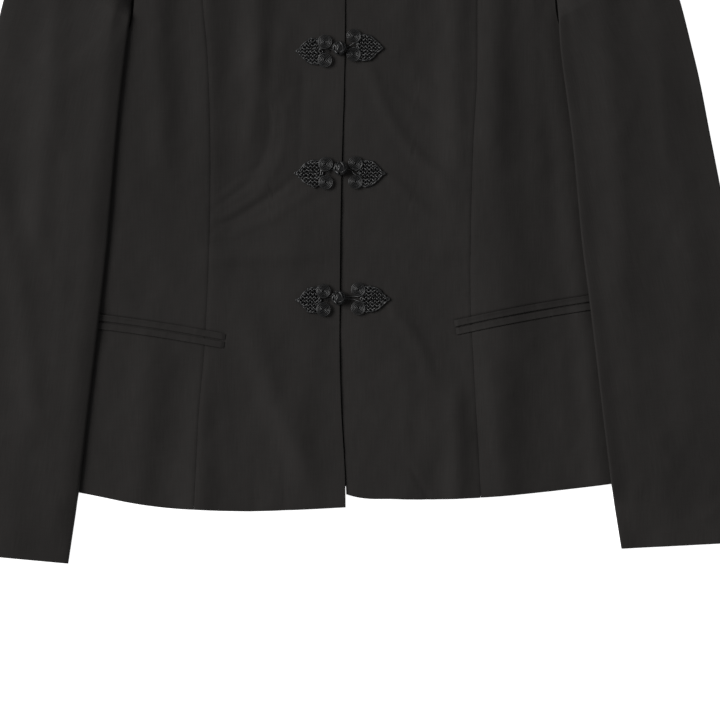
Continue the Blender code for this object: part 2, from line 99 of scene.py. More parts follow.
LEFT_FRONT = [
    Section(-0.010, 0.0020, 0.1256, 0.266),
    Section(0.053, -0.0002, 0.1224, 0.259),
    Section(0.113, -0.0036, 0.1191, 0.253),
    Section(0.155, -0.0041, 0.1168, 0.249),
    Section(0.187, -0.0039, 0.1153, 0.246),
    Section(0.260, -0.0034, 0.1155, 0.242),
    Section(0.339, -0.0013, 0.1178, 0.240),
    Section(0.395, 0.0001, 0.1210, 0.240),
    Section(0.410, 0.0004, 0.1213, 0.219),
    Section(0.425, 0.0006, 0.1214, 0.206),
    Section(0.440, 0.0007, 0.1214, 0.198),
    Section(0.455, 0.0008, 0.1214, 0.1942),
    Section(0.470, 0.0009, 0.1216, 0.1930),
    Section(0.520, 0.0009, 0.1270, 0.1952),
    Section(0.620, 0.0009, 0.1370, 0.1986),
]
Hem = namedtuple("Hem", "x y")
RIGHT_HEM = [
    Hem(0.001, 0.0009),
    Hem(-0.047, -0.0015),
    Hem(-0.094, -0.0028),
    Hem(-0.136, -0.0015),
    Hem(-0.161, 0.0000),
    Hem(-0.245, 0.0143),
    Hem(-0.266, 0.0185),
]
LEFT_HEM = [
    Hem(0.001, 0.0130),
    Hem(0.010, 0.0105),
    Hem(0.046, 0.0085),
    Hem(0.121, 0.0096),
    Hem(0.190, 0.0156),
    Hem(0.245, 0.0221),
    Hem(0.266, 0.0250),
]

# %% Read a table along a smooth curve
def eased(values, slopes, i, t, span=1.0):
    """Smooth values between each value i and the next, at share t of the way."""
    return (
        values[i] * (1 + 2 * t) * (1 - t) ** 2
        + values[i + 1] * (3 - 2 * t) * t**2
        + span * t * (1 - t) * (slopes[i] * (1 - t) - slopes[i + 1] * t)
    )


def reading(rows, column, at, by="y"):
    """The column's values on a smooth curve through the table's rows."""
    rows = sorted(rows, key=lambda row: getattr(row, by))
    places = np.array([getattr(row, by) for row in rows])
    values = np.array([getattr(row, column) for row in rows])
    i = np.clip(np.searchsorted(places, at, side="right") - 1, 0, len(rows) - 2)
    span = places[i + 1] - places[i]
    share = np.clip((at - places[i]) / span, 0, 1)
    return eased(values, np.gradient(values, places), i, share, span)

# %% Where a panel ends at the top
def upper_edge(x, neck):
    """Height of a panel's upper edge: the neckline, a quarter ellipse, then the shoulder seam."""
    share = np.abs(x) / NECK_HALF
    neckline = neck + (NECK_TOP - neck) * (1 - np.sqrt(np.clip(1 - share**2, 0, 1)))
    down = (np.abs(x) - NECK_HALF) / (SHOULDER_HALF - NECK_HALF)
    return np.where(share < 1, neckline, NECK_TOP + down * (SHOULDER_TIP - NECK_TOP))


for side, rows in (("right", RIGHT_FRONT), ("left", LEFT_FRONT)):
    print(f"{side} princess seam at the waist: x = {float(reading(rows, 'princess', 0.26)):.4f} m")

# %% [markdown]
# ## Folds as soft ridges
#
# Cloth that has been worn and pressed never lies dead flat. Each fold is a row in a table: where it
# starts and ends, how far its middle bows to one side, how wide it is and how high, with a negative
# height for a trough. Its section is a bell curve, so that folds add up without a crease where they
# meet. A cloth simulation would invent folds of its own, and these have to lie where the real ones
# do, so they are listed one by one. A few long, faint waves with fixed random phases then take the
# last stiffness out of the flat places.

# %% The folds of the right front
Fold = namedtuple("Fold", "x0 y0 x1 y1 bend width height")
BODY_LOFT = Fold(0.070, 0.270, 0.070, 0.000, 0, 0.095, 0.0055)  # the two layers stand apart here
RIGHT_FOLDS = [
    # broad fullness: at the hip, beside the front edge, and under the armhole
    BODY_LOFT,
    Fold(-0.04, 0.23, -0.05, 0.1, 0, 0.036, 0.0028),
    Fold(-0.205, 0.56, -0.2, 0.37, 0, 0.05, 0.0045),
    # the pressed front edge, and the long folds that fall from the shoulder and the bust
    Fold(-0.003, 0.56, -0.001, 0, 0, 0.014, 0.0009),
    Fold(-0.175, 0.56, -0.168, 0.335, 0, 0.012, 0.0026),
    Fold(-0.129, 0.6, -0.1262, 0.33, 0, 0.015, 0.0032),
    Fold(-0.084, 0.59, -0.08, 0.42, 0, 0.012, 0.0028),
    Fold(-0.081, 0.41, -0.086, 0.35, 0.002, 0.009, 0.0022),
    Fold(-0.058, 0.43, -0.066, 0.37, 0, 0.008, 0.0009),
    Fold(-0.207, 0.52, -0.216, 0.3, 0, 0.011, 0.001),
    # the fan of drag lines from the waist of the princess seam
    Fold(-0.0685, 0.366, -0.119, 0.277, 0.0167, 0.0042, -0.0009),
    Fold(-0.0547, 0.366, -0.1104, 0.2646, 0.0177, 0.0042, 0.0007),
    Fold(-0.1127, 0.2719, -0.0885, 0.2857, 0.001, 0.0022, -0.0006),
    Fold(-0.1081, 0.264, -0.0575, 0.2926, 0.0015, 0.0024, -0.0006),
    Fold(-0.1127, 0.2926, -0.0759, 0.3156, 0.0015, 0.0022, -0.0005),
    Fold(-0.11, 0.283, -0.08, 0.301, 0.001, 0.002, -0.0004),
    Fold(-0.03, 0.292, -0.0935, 0.256, 0.003, 0.0045, 0.0009),
    Fold(-0.019, 0.278, -0.064, 0.264, 0.001, 0.004, 0.0003),
    Fold(-0.1215, 0.252, -0.098, 0.2545, 0, 0.0026, -0.0003),
    Fold(-0.1215, 0.243, -0.1, 0.245, 0, 0.0026, -0.0003),
    Fold(-0.12, 0.262, -0.101, 0.266, 0, 0.0026, -0.0003),
    Fold(-0.118, 0.272, -0.058, 0.322, 0, 0.011, 0.0008),
    Fold(-0.047, 0.303, -0.1145, 0.2605, 0.0036, 0.0034, -0.001),
    Fold(-0.0386, 0.391, -0.041, 0.341, 0, 0.005, -0.0009),
    # the waist, where the cloth gives, and what hangs below it
    Fold(-0.108, 0.231, -0.045, 0.233, 0, 0.0085, 0.002),
    Fold(-0.108, 0.207, -0.045, 0.209, 0, 0.0085, -0.0005),
    Fold(-0.0787, 0.1422, -0.0407, 0.0471, -0.0036, 0.011, 0.002),
    Fold(-0.1147, 0.13, -0.108, 0.055, 0, 0.007, 0.0006),
    Fold(-0.1801, 0.1126, -0.1886, 0.0308, 0, 0.015, 0.0026),
    Fold(-0.131, 0.09, -0.1345, -0.01, 0, 0.015, 0.0034),
    Fold(-0.042, 0.085, -0.038, 0, 0, 0.014, 0.0014),
    Fold(-0.083, 0.045, -0.0825, 0, 0, 0.003, -0.0003),
    Fold(-0.0555, 0.04, -0.0555, 0, 0, 0.003, -0.0003),
    Fold(-0.109, 0.149, -0.0965, 0.144, 0, 0.0022, -0.0005),
    Fold(-0.047, 0.389, -0.026, 0.391, 0, 0.0024, -0.0003),
]

# %% The folds of the left front
LEFT_FOLDS = [
    # broad fullness: at the hip, and along the princess seam at the waist
    BODY_LOFT,
    Fold(0.136, 0.33, 0.142, 0.16, 0, 0.036, 0.006),
    # the long folds that fall from the shoulder and the bust
    Fold(0.14, 0.585, 0.137, 0.345, 0, 0.0125, 0.0032),
    Fold(0.101, 0.58, 0.102, 0.32, 0, 0.0125, 0.003),
    Fold(0.062, 0.56, 0.056, 0.45, 0, 0.01, 0.0012),
    Fold(0.172, 0.56, 0.176, 0.33, 0, 0.012, 0.0016),
    Fold(0.1789, 0.298, 0.18, 0.277, 0, 0.009, 0.0006),
    # the drag lines to the waist
    Fold(0.0269, 0.3956, 0.0881, 0.3048, -0.0096, 0.006, 0.0016),
    Fold(0.0366, 0.309, 0.0691, 0.2773, 0, 0.0045, 0.001),
    Fold(0.062, 0.4, 0.093, 0.37, 0, 0.008, 0.0007),
    Fold(0.04, 0.24, 0.085, 0.236, 0, 0.009, 0.0014),
    Fold(0.0543, 0.383, 0.1008, 0.345, 0, 0.005, -0.0008),
    # what hangs below the waist
    Fold(0.048, 0.176, 0.0754, 0.1295, 0.004, 0.006, 0.0011),
    Fold(0.0564, 0.108, 0.056, 0.066, 0, 0.007, 0.0006),
    Fold(0.1029, 0.09, 0.102, 0.02, 0, 0.008, 0.0011),
    Fold(0.13, 0.134, 0.139, 0.06, 0, 0.008, 0.001),
    Fold(0.144, 0.1, 0.1475, 0, 0, 0.0155, 0.0036),
    Fold(0.101, 0.075, 0.105, 0.01, 0, 0.012, 0.0024),
    Fold(0.078, 0.06, 0.054, 0.012, 0, 0.013, 0.0014),
    Fold(0.0628, 0.0323, 0.0754, 0.0112, 0, 0.0028, -0.0007),
    Fold(0.2, 0.138, 0.202, 0.087, 0, 0.01, 0.0009),
    Fold(0.1905, 0.42, 0.2356, 0.02, 0, 0.01, 0.0019),
    Fold(0.003, 0.092, 0.0142, 0.0851, 0, 0.0022, -0.0005),
]

# %% The folds of the sleeves
RIGHT_SLEEVE_FOLDS = [
    Fold(-0.262, 0.48, -0.282, 0.269, 0, 0.013, 0.0026),
    Fold(-0.208, 0.46, -0.252, 0.01, 0, 0.014, 0.0034),
    Fold(-0.3174, 0.2858, -0.2857, 0.0915, 0.004, 0.012, 0.0022),
    Fold(-0.2836, 0.2646, -0.2625, 0.2055, 0, 0.008, 0.0006),
    Fold(-0.308, 0.47, -0.345, 0.2, 0, 0.016, 0.0018),
    Fold(-0.3, 0.06, -0.306, -0.02, 0, 0.014, 0.0012),
    Fold(-0.34, -0.018, -0.3, -0.024, 0, 0.006, 0.0004),
]
LEFT_SLEEVE_FOLDS = [
    Fold(0.236, 0.48, 0.254, 0.24, 0, 0.014, 0.002),
    Fold(0.29, 0.4, 0.296, 0.32, 0, 0.005, 0.0005),
    Fold(0.286, 0.46, 0.322, 0.2, 0, 0.016, 0.002),
    Fold(0.31, 0.2, 0.315, 0.08, 0, 0.014, 0.001),
    Fold(0.29, 0.05, 0.296, -0.02, 0, 0.014, 0.0012),
    Fold(0.33, -0.01, 0.35, 0.008, 0, 0.005, 0.0006),
]

# %% Add up the folds
FOLD_FADE = 2.6  # a fold's ends fade out over this many of its widths


def folds(rows, x, y):
    """How far the cloth is lifted by its folds."""
    lift = np.zeros_like(x)
    for row in rows:
        dx, dy = row.x1 - row.x0, row.y1 - row.y0
        length = math.hypot(dx, dy)
        share = ((x - row.x0) * dx + (y - row.y0) * dy) / length**2
        inside = np.clip(share, 0, 1)
        across = ((y - row.y0) * dx - (x - row.x0) * dy) / length
        across = across - 4 * row.bend * inside * (1 - inside)
        past = np.abs(share - inside) * length
        lift += row.height * np.exp(-((across / row.width) ** 2) - (past / (FOLD_FADE * row.width)) ** 2)
    return lift

# %% Faint ripples between them
RIPPLES = 32
RIPPLE_SPREAD = 0.75  # radians either way of straight across
SHORTEST_RIPPLE, LONGEST_RIPPLE = 0.007, 0.060
RIPPLE_SLOPE = 0.0085  # of each wave, so that a long wave is higher than a short one


def ripples(x, y, seed):
    """Faint unevenness, mostly in waves that run from top to bottom."""
    draw = np.random.default_rng(seed)
    lift = np.zeros_like(x)
    for _ in range(RIPPLES):
        length = SHORTEST_RIPPLE * (LONGEST_RIPPLE / SHORTEST_RIPPLE) ** draw.random()
        turn, phase = draw.normal(0, RIPPLE_SPREAD), draw.uniform(0, 2 * math.pi)
        wave = 2 * math.pi / length
        lift += RIPPLE_SLOPE / wave * np.sin(wave * (x * math.cos(turn) + y * math.sin(turn)) + phase)
    return lift


print("folds:", len(RIGHT_FOLDS), "and", len(LEFT_FOLDS), "on the fronts")

# %% [markdown]
# ## A sheet of cloth
#
# A panel starts as one flat grid from `create_grid`, whose points are then put where the outlines
# and the folds say. Its lines stand closer together near every edge, because that is where cloth
# rolls over into a seam or a hem. Solidify gives the wall its thickness, and a narrow Bevel rounds
# its cut edges as a turned edge is rounded. The UV map holds the flat cloth in metres, so that the
# weave keeps its size and follows the grain of each piece.

# %% Where a sheet's lines run
JACKET = {}
EDGE_STEPS = np.array([0.0, 0.0008, 0.0018, 0.0032, 0.0050])
FINE, PLAIN = 0.0007, 0.0027
EDGE_ROUND, STEEP_EDGE = 0.00045, math.radians(62)  # how far a cut edge is rounded, and what is one


def stops(length, step=PLAIN, fine_zone=None):
    """Shares from 0 to 1 a step apart, closer at both ends and in the zone between two distances."""
    near = EDGE_STEPS[-1]
    count = max(2, round((length - 2 * near) / step))
    places = [EDGE_STEPS, np.linspace(near, length - near, count + 1), length - EDGE_STEPS]
    if fine_zone:
        low, high = fine_zone
        outside = [p[(p < low - step / 2) | (p > high + step / 2)] for p in places]
        places = [*outside, np.arange(low, high, FINE)]
    return np.unique(np.concatenate(places).round(6)) / length


print("lines along a 0.6 m panel:", len(stops(0.6)))

# %% Make an object and give it a wall
def new_piece(name, shape, nodes, slot):
    """An object from a bmesh, smooth shaded, which stands for the named CAD nodes."""
    mesh = bpy.data.meshes.new(name)
    shape.to_mesh(mesh)
    shape.free()
    mesh.polygons.foreach_set("use_smooth", np.ones(len(mesh.polygons), bool))
    piece = bpy.data.objects.new(name, mesh)
    bpy.context.scene.collection.objects.link(piece)
    JACKET[name] = (piece, nodes, slot)
    return piece


def wall(piece, thickness, offset, rounding=EDGE_ROUND):
    """Gives a sheet its thickness and rounds the edges of its wall."""
    shell = piece.modifiers.new("thickness", "SOLIDIFY")
    shell.thickness, shell.offset = thickness, offset
    turned = piece.modifiers.new("turned edge", "BEVEL")
    turned.width, turned.segments, turned.limit_method = rounding, 2, "ANGLE"
    turned.angle_limit = STEEP_EDGE

# %% Put a grid in the shape of a pattern piece
def sheet_shape(us, vs, place, cut=None, closed=False):
    """A grid whose point (u, v) is put at place(u, v), with its flat pattern in metres as UV map."""
    shape = bmesh.new()
    flat = shape.loops.layers.uv.new("UVMap")
    columns, rows = len(us) - 1, len(vs) - 1
    bmesh.ops.create_grid(shape, x_segments=columns, y_segments=rows, size=0.5)
    shape.verts.ensure_lookup_table()
    corners = np.array([point.co[:2] for point in shape.verts]) + 0.5
    u = us[np.rint(corners[:, 0] * columns).astype(int)]
    v = vs[np.rint(corners[:, 1] * rows).astype(int)]
    places = np.stack(place(u, v), axis=1)
    pattern = np.stack(cut(u, v), axis=1) if cut else places[:, :2]
    for point, spot in zip(shape.verts, places.tolist()):
        point.co = spot
    pattern = pattern.tolist()
    for face in shape.faces:
        for corner in face.loops:
            corner[flat].uv = pattern[corner.vert.index]
    if closed:
        bmesh.ops.remove_doubles(shape, verts=shape.verts, dist=1e-6)
        bmesh.ops.recalc_face_normals(shape, faces=shape.faces)
    shape.normal_update()
    return shape


def face_up(shape):
    """Turns an open sheet so that its upper side is its outer one."""
    if sum(face.normal.z for face in shape.faces) < 0:
        bmesh.ops.reverse_faces(shape, faces=shape.faces)
        shape.normal_update()
    return shape


# %% [markdown]
# ## The fronts
#
# Each front is two panels. The seam between them is pressed open inside, so the cloth dips into it
# on both sides and puckers a little along it. The hem and the side are turned, so they roll down.
# The right front's own edge stands up, because it laps towards the eye, and the left one sinks
# under it. The pocket's mouth is a shallow bed, in which its two jets lie almost flush.

# %% Sizes of the fronts' edges and the pocket openings
PUFF = 0.0005  # how far a panel stands above its own seams
SEAM_ROLL_LIT, SEAM_ROLL_SHADED = 0.0028, 0.0009  # turnings are pressed to one side
HEM_ROLL, SIDE_ROLL = 0.0022, 0.004
UNDER_ROLL, UNDER_SHARE = 0.006, 0.25  # the left front's edge keeps a share of its puff
PUCKER, PUCKER_LENGTH, PUCKER_REACH = 0.00016, 0.0105, 0.005
PUCKER_DRIFTS = [(2.2, 0.013), (1.4, 0.031)]  # how much the puckers crowd or spread, and how often
PUCKER_MEAN, PUCKER_SWING, PUCKER_BEAT = 0.6, 0.4, 0.047  # they come and go along the seam
FRONT_SEED = {"right": 3, "left": 7}
FACING, FACING_STEP = 0.0055, 0.00014
SETTLED = 0.0004  # how softly a hollow bottoms out on the back
PANEL_WIDTH, PANEL_LENGTH = 0.130, 0.600
FINE_BELOW, FINE_ABOVE = 0.020, 0.030  # the zone of closer lines round a pocket
JET_WIDTH, JET_LENGTH = 0.006, 0.130
POCKET_SLIT, POCKET_BOW = 0.0014, 0.0012
BED_DEPTH, BED_ROLL, BED_MARGIN = 0.0010, 0.0005, 0.0010
NECK_ZONE, PLAIN_ZONE = (0.045, 0.53), (0.03, 0.56)  # shares of a centre panel's width

Pocket = namedtuple("Pocket", "side x y angle")
POCKETS = {
    "right": Pocket("right", -0.1105, 0.1536, math.radians(171.4)),
    "left": Pocket("left", 0.1012, 0.1659, math.radians(10.5)),
}

# %% The rolled edges and the bed of a pocket
def fall(distance, roll):
    """0 at an edge, and 1 once well past its roll."""
    return 1 - np.exp(-((distance / roll) ** 2))


def pocket_bed(pocket, x, y):
    """1 inside the oblong in which a pocket's jets lie, falling to 0 round it."""
    ax, ay = math.cos(pocket.angle), math.sin(pocket.angle)
    along = (x - pocket.x) * ax + (y - pocket.y) * ay
    across = ((y - pocket.y) * ax - (x - pocket.x) * ay) * math.copysign(1, ax)
    across = across - POCKET_BOW * np.sin(math.pi * np.clip(along / JET_LENGTH, 0, 1))
    out_across = np.abs(across) - (JET_WIDTH + POCKET_SLIT / 2 + BED_MARGIN)
    out_along = np.abs(along - JET_LENGTH / 2) - (JET_LENGTH / 2 - BED_MARGIN)
    return 1 / (1 + np.exp(np.clip(np.maximum(out_across, out_along) / (BED_ROLL / 2), -30, 30)))


print(f"pocket: {JET_LENGTH} m long and {2 * JET_WIDTH + POCKET_SLIT:.4f} m high")

# %% One panel of a front
def front_panel(side, part, sections, hem, rows, seed):
    """A centre or side panel of one front."""
    outward = 1 if side == "left" else -1
    near, far = ("edge", "princess") if part == "centre" else ("princess", "side")
    half_gap = outward * SEAM_GAP / 2
    seam_roll = SEAM_ROLL_LIT if (side == "right") == (part == "centre") else SEAM_ROLL_SHADED

    def across(y, share):
        inner = reading(sections, near, y) + (half_gap if near == "princess" else 0)
        outer = reading(sections, far, y) - (half_gap if far == "princess" else 0)
        return inner + share * (outer - inner)

    def place(u, v):
        bottom = reading(hem, "y", across(np.zeros_like(u), u), by="x")
        top = upper_edge(across(np.full_like(u, SHOULDER_TIP), u), FRONT_NECK)
        y = bottom + v * (top - bottom)
        x = across(y, u)
        from_near = np.abs(x - across(y, np.zeros_like(u)))
        from_far = np.abs(x - across(y, np.ones_like(u)))
        lift = PUFF * fall(y - bottom, HEM_ROLL) * fall(top - y, HEM_ROLL)
        seam = from_far if part == "centre" else from_near
        lift *= fall(seam, seam_roll)
        if part == "side":
            lift *= fall(from_far, SIDE_ROLL)
        elif side == "left":
            lift *= UNDER_SHARE + (1 - UNDER_SHARE) * fall(from_near, UNDER_ROLL)
        if part == "centre":
            lift += FACING_STEP * np.exp(-((from_near / FACING) ** 8)) * (side == "right")
        drift = sum(far * np.sin(y / long + k * seed) for k, (far, long) in enumerate(PUCKER_DRIFTS, 1))
        strength = PUCKER_MEAN + PUCKER_SWING * np.sin(y / PUCKER_BEAT + seed)
        pucker = np.sin(2 * math.pi * y / PUCKER_LENGTH + drift) * strength
        lift += PUCKER * pucker * np.exp(-seam / PUCKER_REACH) * fall(seam, seam_roll)
        lift += folds(rows, x, y) + ripples(x, y, FRONT_SEED[side])
        lift -= BED_DEPTH * pocket_bed(POCKETS[side], x, y)
        return x, y, FRONT_LEVEL + (lift + np.hypot(lift, SETTLED)) / 2

    us = stops(PANEL_WIDTH)
    if part == "centre":  # its lines crowd towards the side of the neck, where the neckline is steep
        width = abs(float(reading(sections, "princess", SHOULDER_TIP)))
        turns = NECK_HALF * np.sin(np.linspace(0, math.pi / 2, 34)) / width
        plain = us[(us < PLAIN_ZONE[0]) | (us > PLAIN_ZONE[1])]
        crowded = turns[(turns > NECK_ZONE[0]) & (turns < NECK_ZONE[1])]
        us = np.sort(np.concatenate([plain, crowded, turns[-1:]]))
    pocket_y = POCKETS[side].y
    vs = stops(PANEL_LENGTH, fine_zone=(pocket_y - FINE_BELOW, pocket_y + FINE_ABOVE))
    name = f"front_{part}_{side}"
    piece = new_piece(name + "_cloth", face_up(sheet_shape(us, vs, place)), [name], "cloth")
    wall(piece, CLOTH, 1)
    print(f"{name}: {len(us)} by {len(vs)} lines")
    return piece

# %% Make the four panels
FRONTS = {
    (side, part): front_panel(side, part, sections, hem, rows, seed)
    for side, sections, hem, rows, seed in (
        ("right", RIGHT_FRONT, RIGHT_HEM, RIGHT_FOLDS, 1.0),
        ("left", LEFT_FRONT, LEFT_HEM, LEFT_FOLDS, 4.0),
    )
    for part in ("centre", "side")
}

# %% [markdown]
# ## The back
#
# The back is one plain piece that the fronts hide. It lies on the table, so its underside is flat.
# The same kind of grid makes it, from one side seam to the other. At the armholes its edge runs on a
# little under the heads of the sleeves, where the two are sewn together.

# %% Make the back
BACK_HEM, BACK_HEM_RISE = 0.020, 0.007762
BACK_WIDTH, BACK_LENGTH, BACK_STEP = 0.48, 0.59, 0.008
ARMHOLE, ARMHOLE_LAP = (0.360, 0.395), 0.0080  # the edge moves out between these two heights


def back_place(u, v):
    across = 2 * u - 1
    bottom = BACK_HEM + BACK_HEM_RISE * across**2
    top = upper_edge(across * SHOULDER_HALF, BACK_NECK)
    y = bottom + v * (top - bottom)
    lap = ARMHOLE_LAP * np.clip((y - ARMHOLE[0]) / (ARMHOLE[1] - ARMHOLE[0]), 0, 1)
    right, left = reading(RIGHT_FRONT, "side", y) - lap, reading(LEFT_FRONT, "side", y) + lap
    return right + u * (left - right), y, np.zeros_like(u)


neck = 0.5 + 0.5 * NECK_HALF / SHOULDER_HALF * np.sin(np.linspace(-math.pi / 2, math.pi / 2, 25))
us = np.unique(np.concatenate([stops(BACK_WIDTH, BACK_STEP), neck]).round(4))
back_shape = sheet_shape(us, stops(BACK_LENGTH, BACK_STEP), back_place)
back = new_piece("back_cloth", face_up(back_shape), ["back"], "cloth")
wall(back, CLOTH, 1)

# %% [markdown]
# ## What lies on what
#
# The jets, the sleeves and the frogs lie on the fronts, so they need to know how high the cloth is
# under them. Lines dropped onto the finished panels give the heights on a fine raster. Cloth and
# cord bridge small hollows, so a second raster takes the highest place within reach of each point
# and is then smoothed over a little less, which never comes out lower than what lies below.

# %% A map of heights
RASTER = 0.002
SMOOTH_SHARE = 0.8  # of the reach
LOW_CORNER, HIGH_CORNER = np.array([-0.41, -0.07]), np.array([0.41, 0.66])


def shown_mesh(piece):
    bpy.context.view_layer.update()
    return bpy.data.meshes.new_from_object(piece.evaluated_get(bpy.context.evaluated_depsgraph_get()))


def shifted(heights, dx, dy):
    """The raster moved by whole steps, with its border held."""
    padded = np.pad(heights, ((abs(dx), abs(dx)), (abs(dy), abs(dy))), mode="edge")
    return padded[abs(dx) + dx :, abs(dy) + dy :][: heights.shape[0], : heights.shape[1]]

# %% Look down on pieces, and bridge their hollows
class Heights:
    """The upper surface of some pieces, on a raster."""

    def __init__(self, pieces):
        points, faces = [], []
        for piece in pieces:
            mesh = shown_mesh(piece)
            base = len(points)
            points += [point.co.copy() for point in mesh.vertices]
            faces += [[base + i for i in face.vertices] for face in mesh.polygons]
        tree = BVHTree.FromPolygons(points, faces)
        counts = np.rint((HIGH_CORNER - LOW_CORNER) / RASTER).astype(int) + 1
        self.raster = np.zeros(counts)
        for i in range(counts[0]):
            for j in range(counts[1]):
                x, y = LOW_CORNER[0] + i * RASTER, LOW_CORNER[1] + j * RASTER
                hit = tree.ray_cast(Vector((x, y, 1)), Vector((0, 0, -1)))[0]
                self.raster[i, j] = hit.z if hit else 0

    def bridged(self, reach):
        """The same surface as something that bridges hollows narrower than the reach sees it."""
        steps = int(round(reach / RASTER))
        span = range(-steps, steps + 1)
        near = [(i, j) for i in span for j in span if i * i + j * j <= steps * steps]
        highest = self.raster
        for i, j in near:
            highest = np.maximum(highest, shifted(self.raster, i, j))
        inner = [(i, j) for i, j in near if i * i + j * j <= (SMOOTH_SHARE * steps) ** 2]
        other = Heights.__new__(Heights)
        other.raster = sum(shifted(highest, i, j) for i, j in inner) / len(inner)
        return other

    def at(self, x, y):
        """Heights between the raster's points."""
        i = np.clip((x - LOW_CORNER[0]) / RASTER, 0, self.raster.shape[0] - 1.001)
        j = np.clip((y - LOW_CORNER[1]) / RASTER, 0, self.raster.shape[1] - 1.001)
        a, b = i.astype(int), j.astype(int)
        s, t = i - a, j - b
        r = self.raster
        low = r[a, b] * (1 - s) + r[a + 1, b] * s
        high = r[a, b + 1] * (1 - s) + r[a + 1, b + 1] * s
        return low * (1 - t) + high * t

# %% Measure the fronts
on_fronts = Heights([*FRONTS.values(), back])
print(f"highest cloth on the fronts: {1000 * on_fronts.raster.max():.2f} mm")

# %% [markdown]
# ## The jets
#
# A double-jet pocket shows two narrow strips of cloth with a slit between them. Each is folded
# lengthwise, with its fold at the slit, so its section is made as the folded strip that it is: along
# the bottom, round the fold and back along the top.

# %% The section of a folded strip
JET_CLOTH = 0.00042
JET_HALF = 0.00038  # half the distance between the middles of its two layers
JET_TURN = 5  # steps round the fold
JET_CLEAR = 0.00035
JET_SEAM, JET_SUNK = 0.0009, 0.00028  # the seam holds the raw edges down
JET_END, JET_PRESSED = 0.0018, 0.9  # a jet is pressed nearly flat at its ends
SLOW_WAVE, QUICK_WAVE = (0.00006, 41), (0.00005, 87)  # height, and turns of the wave in radians
JET_STEP, JET_ROUND = 0.0018, 0.00012


def jet_profile():
    """(across, up) along the folded strip, from its lower raw edge to its upper one."""
    flat = np.linspace(JET_WIDTH, JET_HALF + JET_CLOTH / 2, 7)
    turn = np.linspace(-math.pi / 2, -3 * math.pi / 2, JET_TURN + 2)[1:-1]
    round_x = flat[-1] + JET_HALF * np.cos(turn)
    across = np.concatenate([flat, round_x, flat[::-1]])
    up = np.concatenate([np.zeros(7), JET_HALF * (1 + np.sin(turn)), np.full(7, 2 * JET_HALF)])
    sunk = np.exp(-(((JET_WIDTH - across) / JET_SEAM) ** 2))
    return across, up + JET_CLOTH / 2 - JET_SUNK * sunk * (up > JET_HALF)


print("points along a jet's section:", len(jet_profile()[0]))

# %% Lay one jet in its bed
def jet(pocket, is_lower):
    ax, ay = math.cos(pocket.angle), math.sin(pocket.angle)
    up_x, up_y = -ay * math.copysign(1, ax), abs(ax)
    across, up = jet_profile()
    steps = np.arange(len(across)) / (len(across) - 1)

    def place(u, v):
        b = np.interp(v, steps, across) + POCKET_SLIT / 2
        bow = POCKET_BOW * np.sin(math.pi * u) - (b if is_lower else -b)
        x = pocket.x + u * JET_LENGTH * ax + bow * up_x
        y = pocket.y + u * JET_LENGTH * ay + bow * up_y
        bed = bed_level.at(x, y)
        uneven = SLOW_WAVE[0] * np.sin(u * SLOW_WAVE[1] + 3 * is_lower)
        uneven += QUICK_WAVE[0] * np.sin(u * QUICK_WAVE[1] + pocket.x * 90)
        from_end = JET_LENGTH * np.minimum(u, 1 - u)
        pressed = 1 - JET_PRESSED * np.exp(-((from_end / JET_END) ** 2))
        return x, y, bed + JET_CLEAR * pressed + np.interp(v, steps, up) * pressed + uneven

    def cut(u, v):
        return pocket.x + u * JET_LENGTH, v * 2 * JET_WIDTH

    node = f"pocket_jet_{'lower' if is_lower else 'upper'}_{pocket.side}"
    shape = sheet_shape(stops(JET_LENGTH, JET_STEP), steps, place, cut)
    piece = new_piece(node + "_cloth", shape, [node], "cloth")
    wall(piece, JET_CLOTH, 0, JET_ROUND)
    return piece

# %% Make all four
bed_level = on_fronts.bridged(RASTER)
JETS = [jet(pocket, is_lower) for pocket in POCKETS.values() for is_lower in (False, True)]
print("jets:", [piece.name for piece in JETS])

# %% [markdown]
# ## The sleeves
#
# A sleeve is a tube that has been pressed flat and laid over the side of the body. Each ring of the
# table is one line across it, from its edge over the body to its outer edge, and says how far it
# reaches over the body, down to nothing at the shoulder. The ring's lower wall lies on whatever is
# there, the table or the body's side, and its upper wall stands a little above that, fuller in the
# middle and rolled over at both edges. The grid is wrapped round into a tube and its two ends are
# merged at the underarm seam.

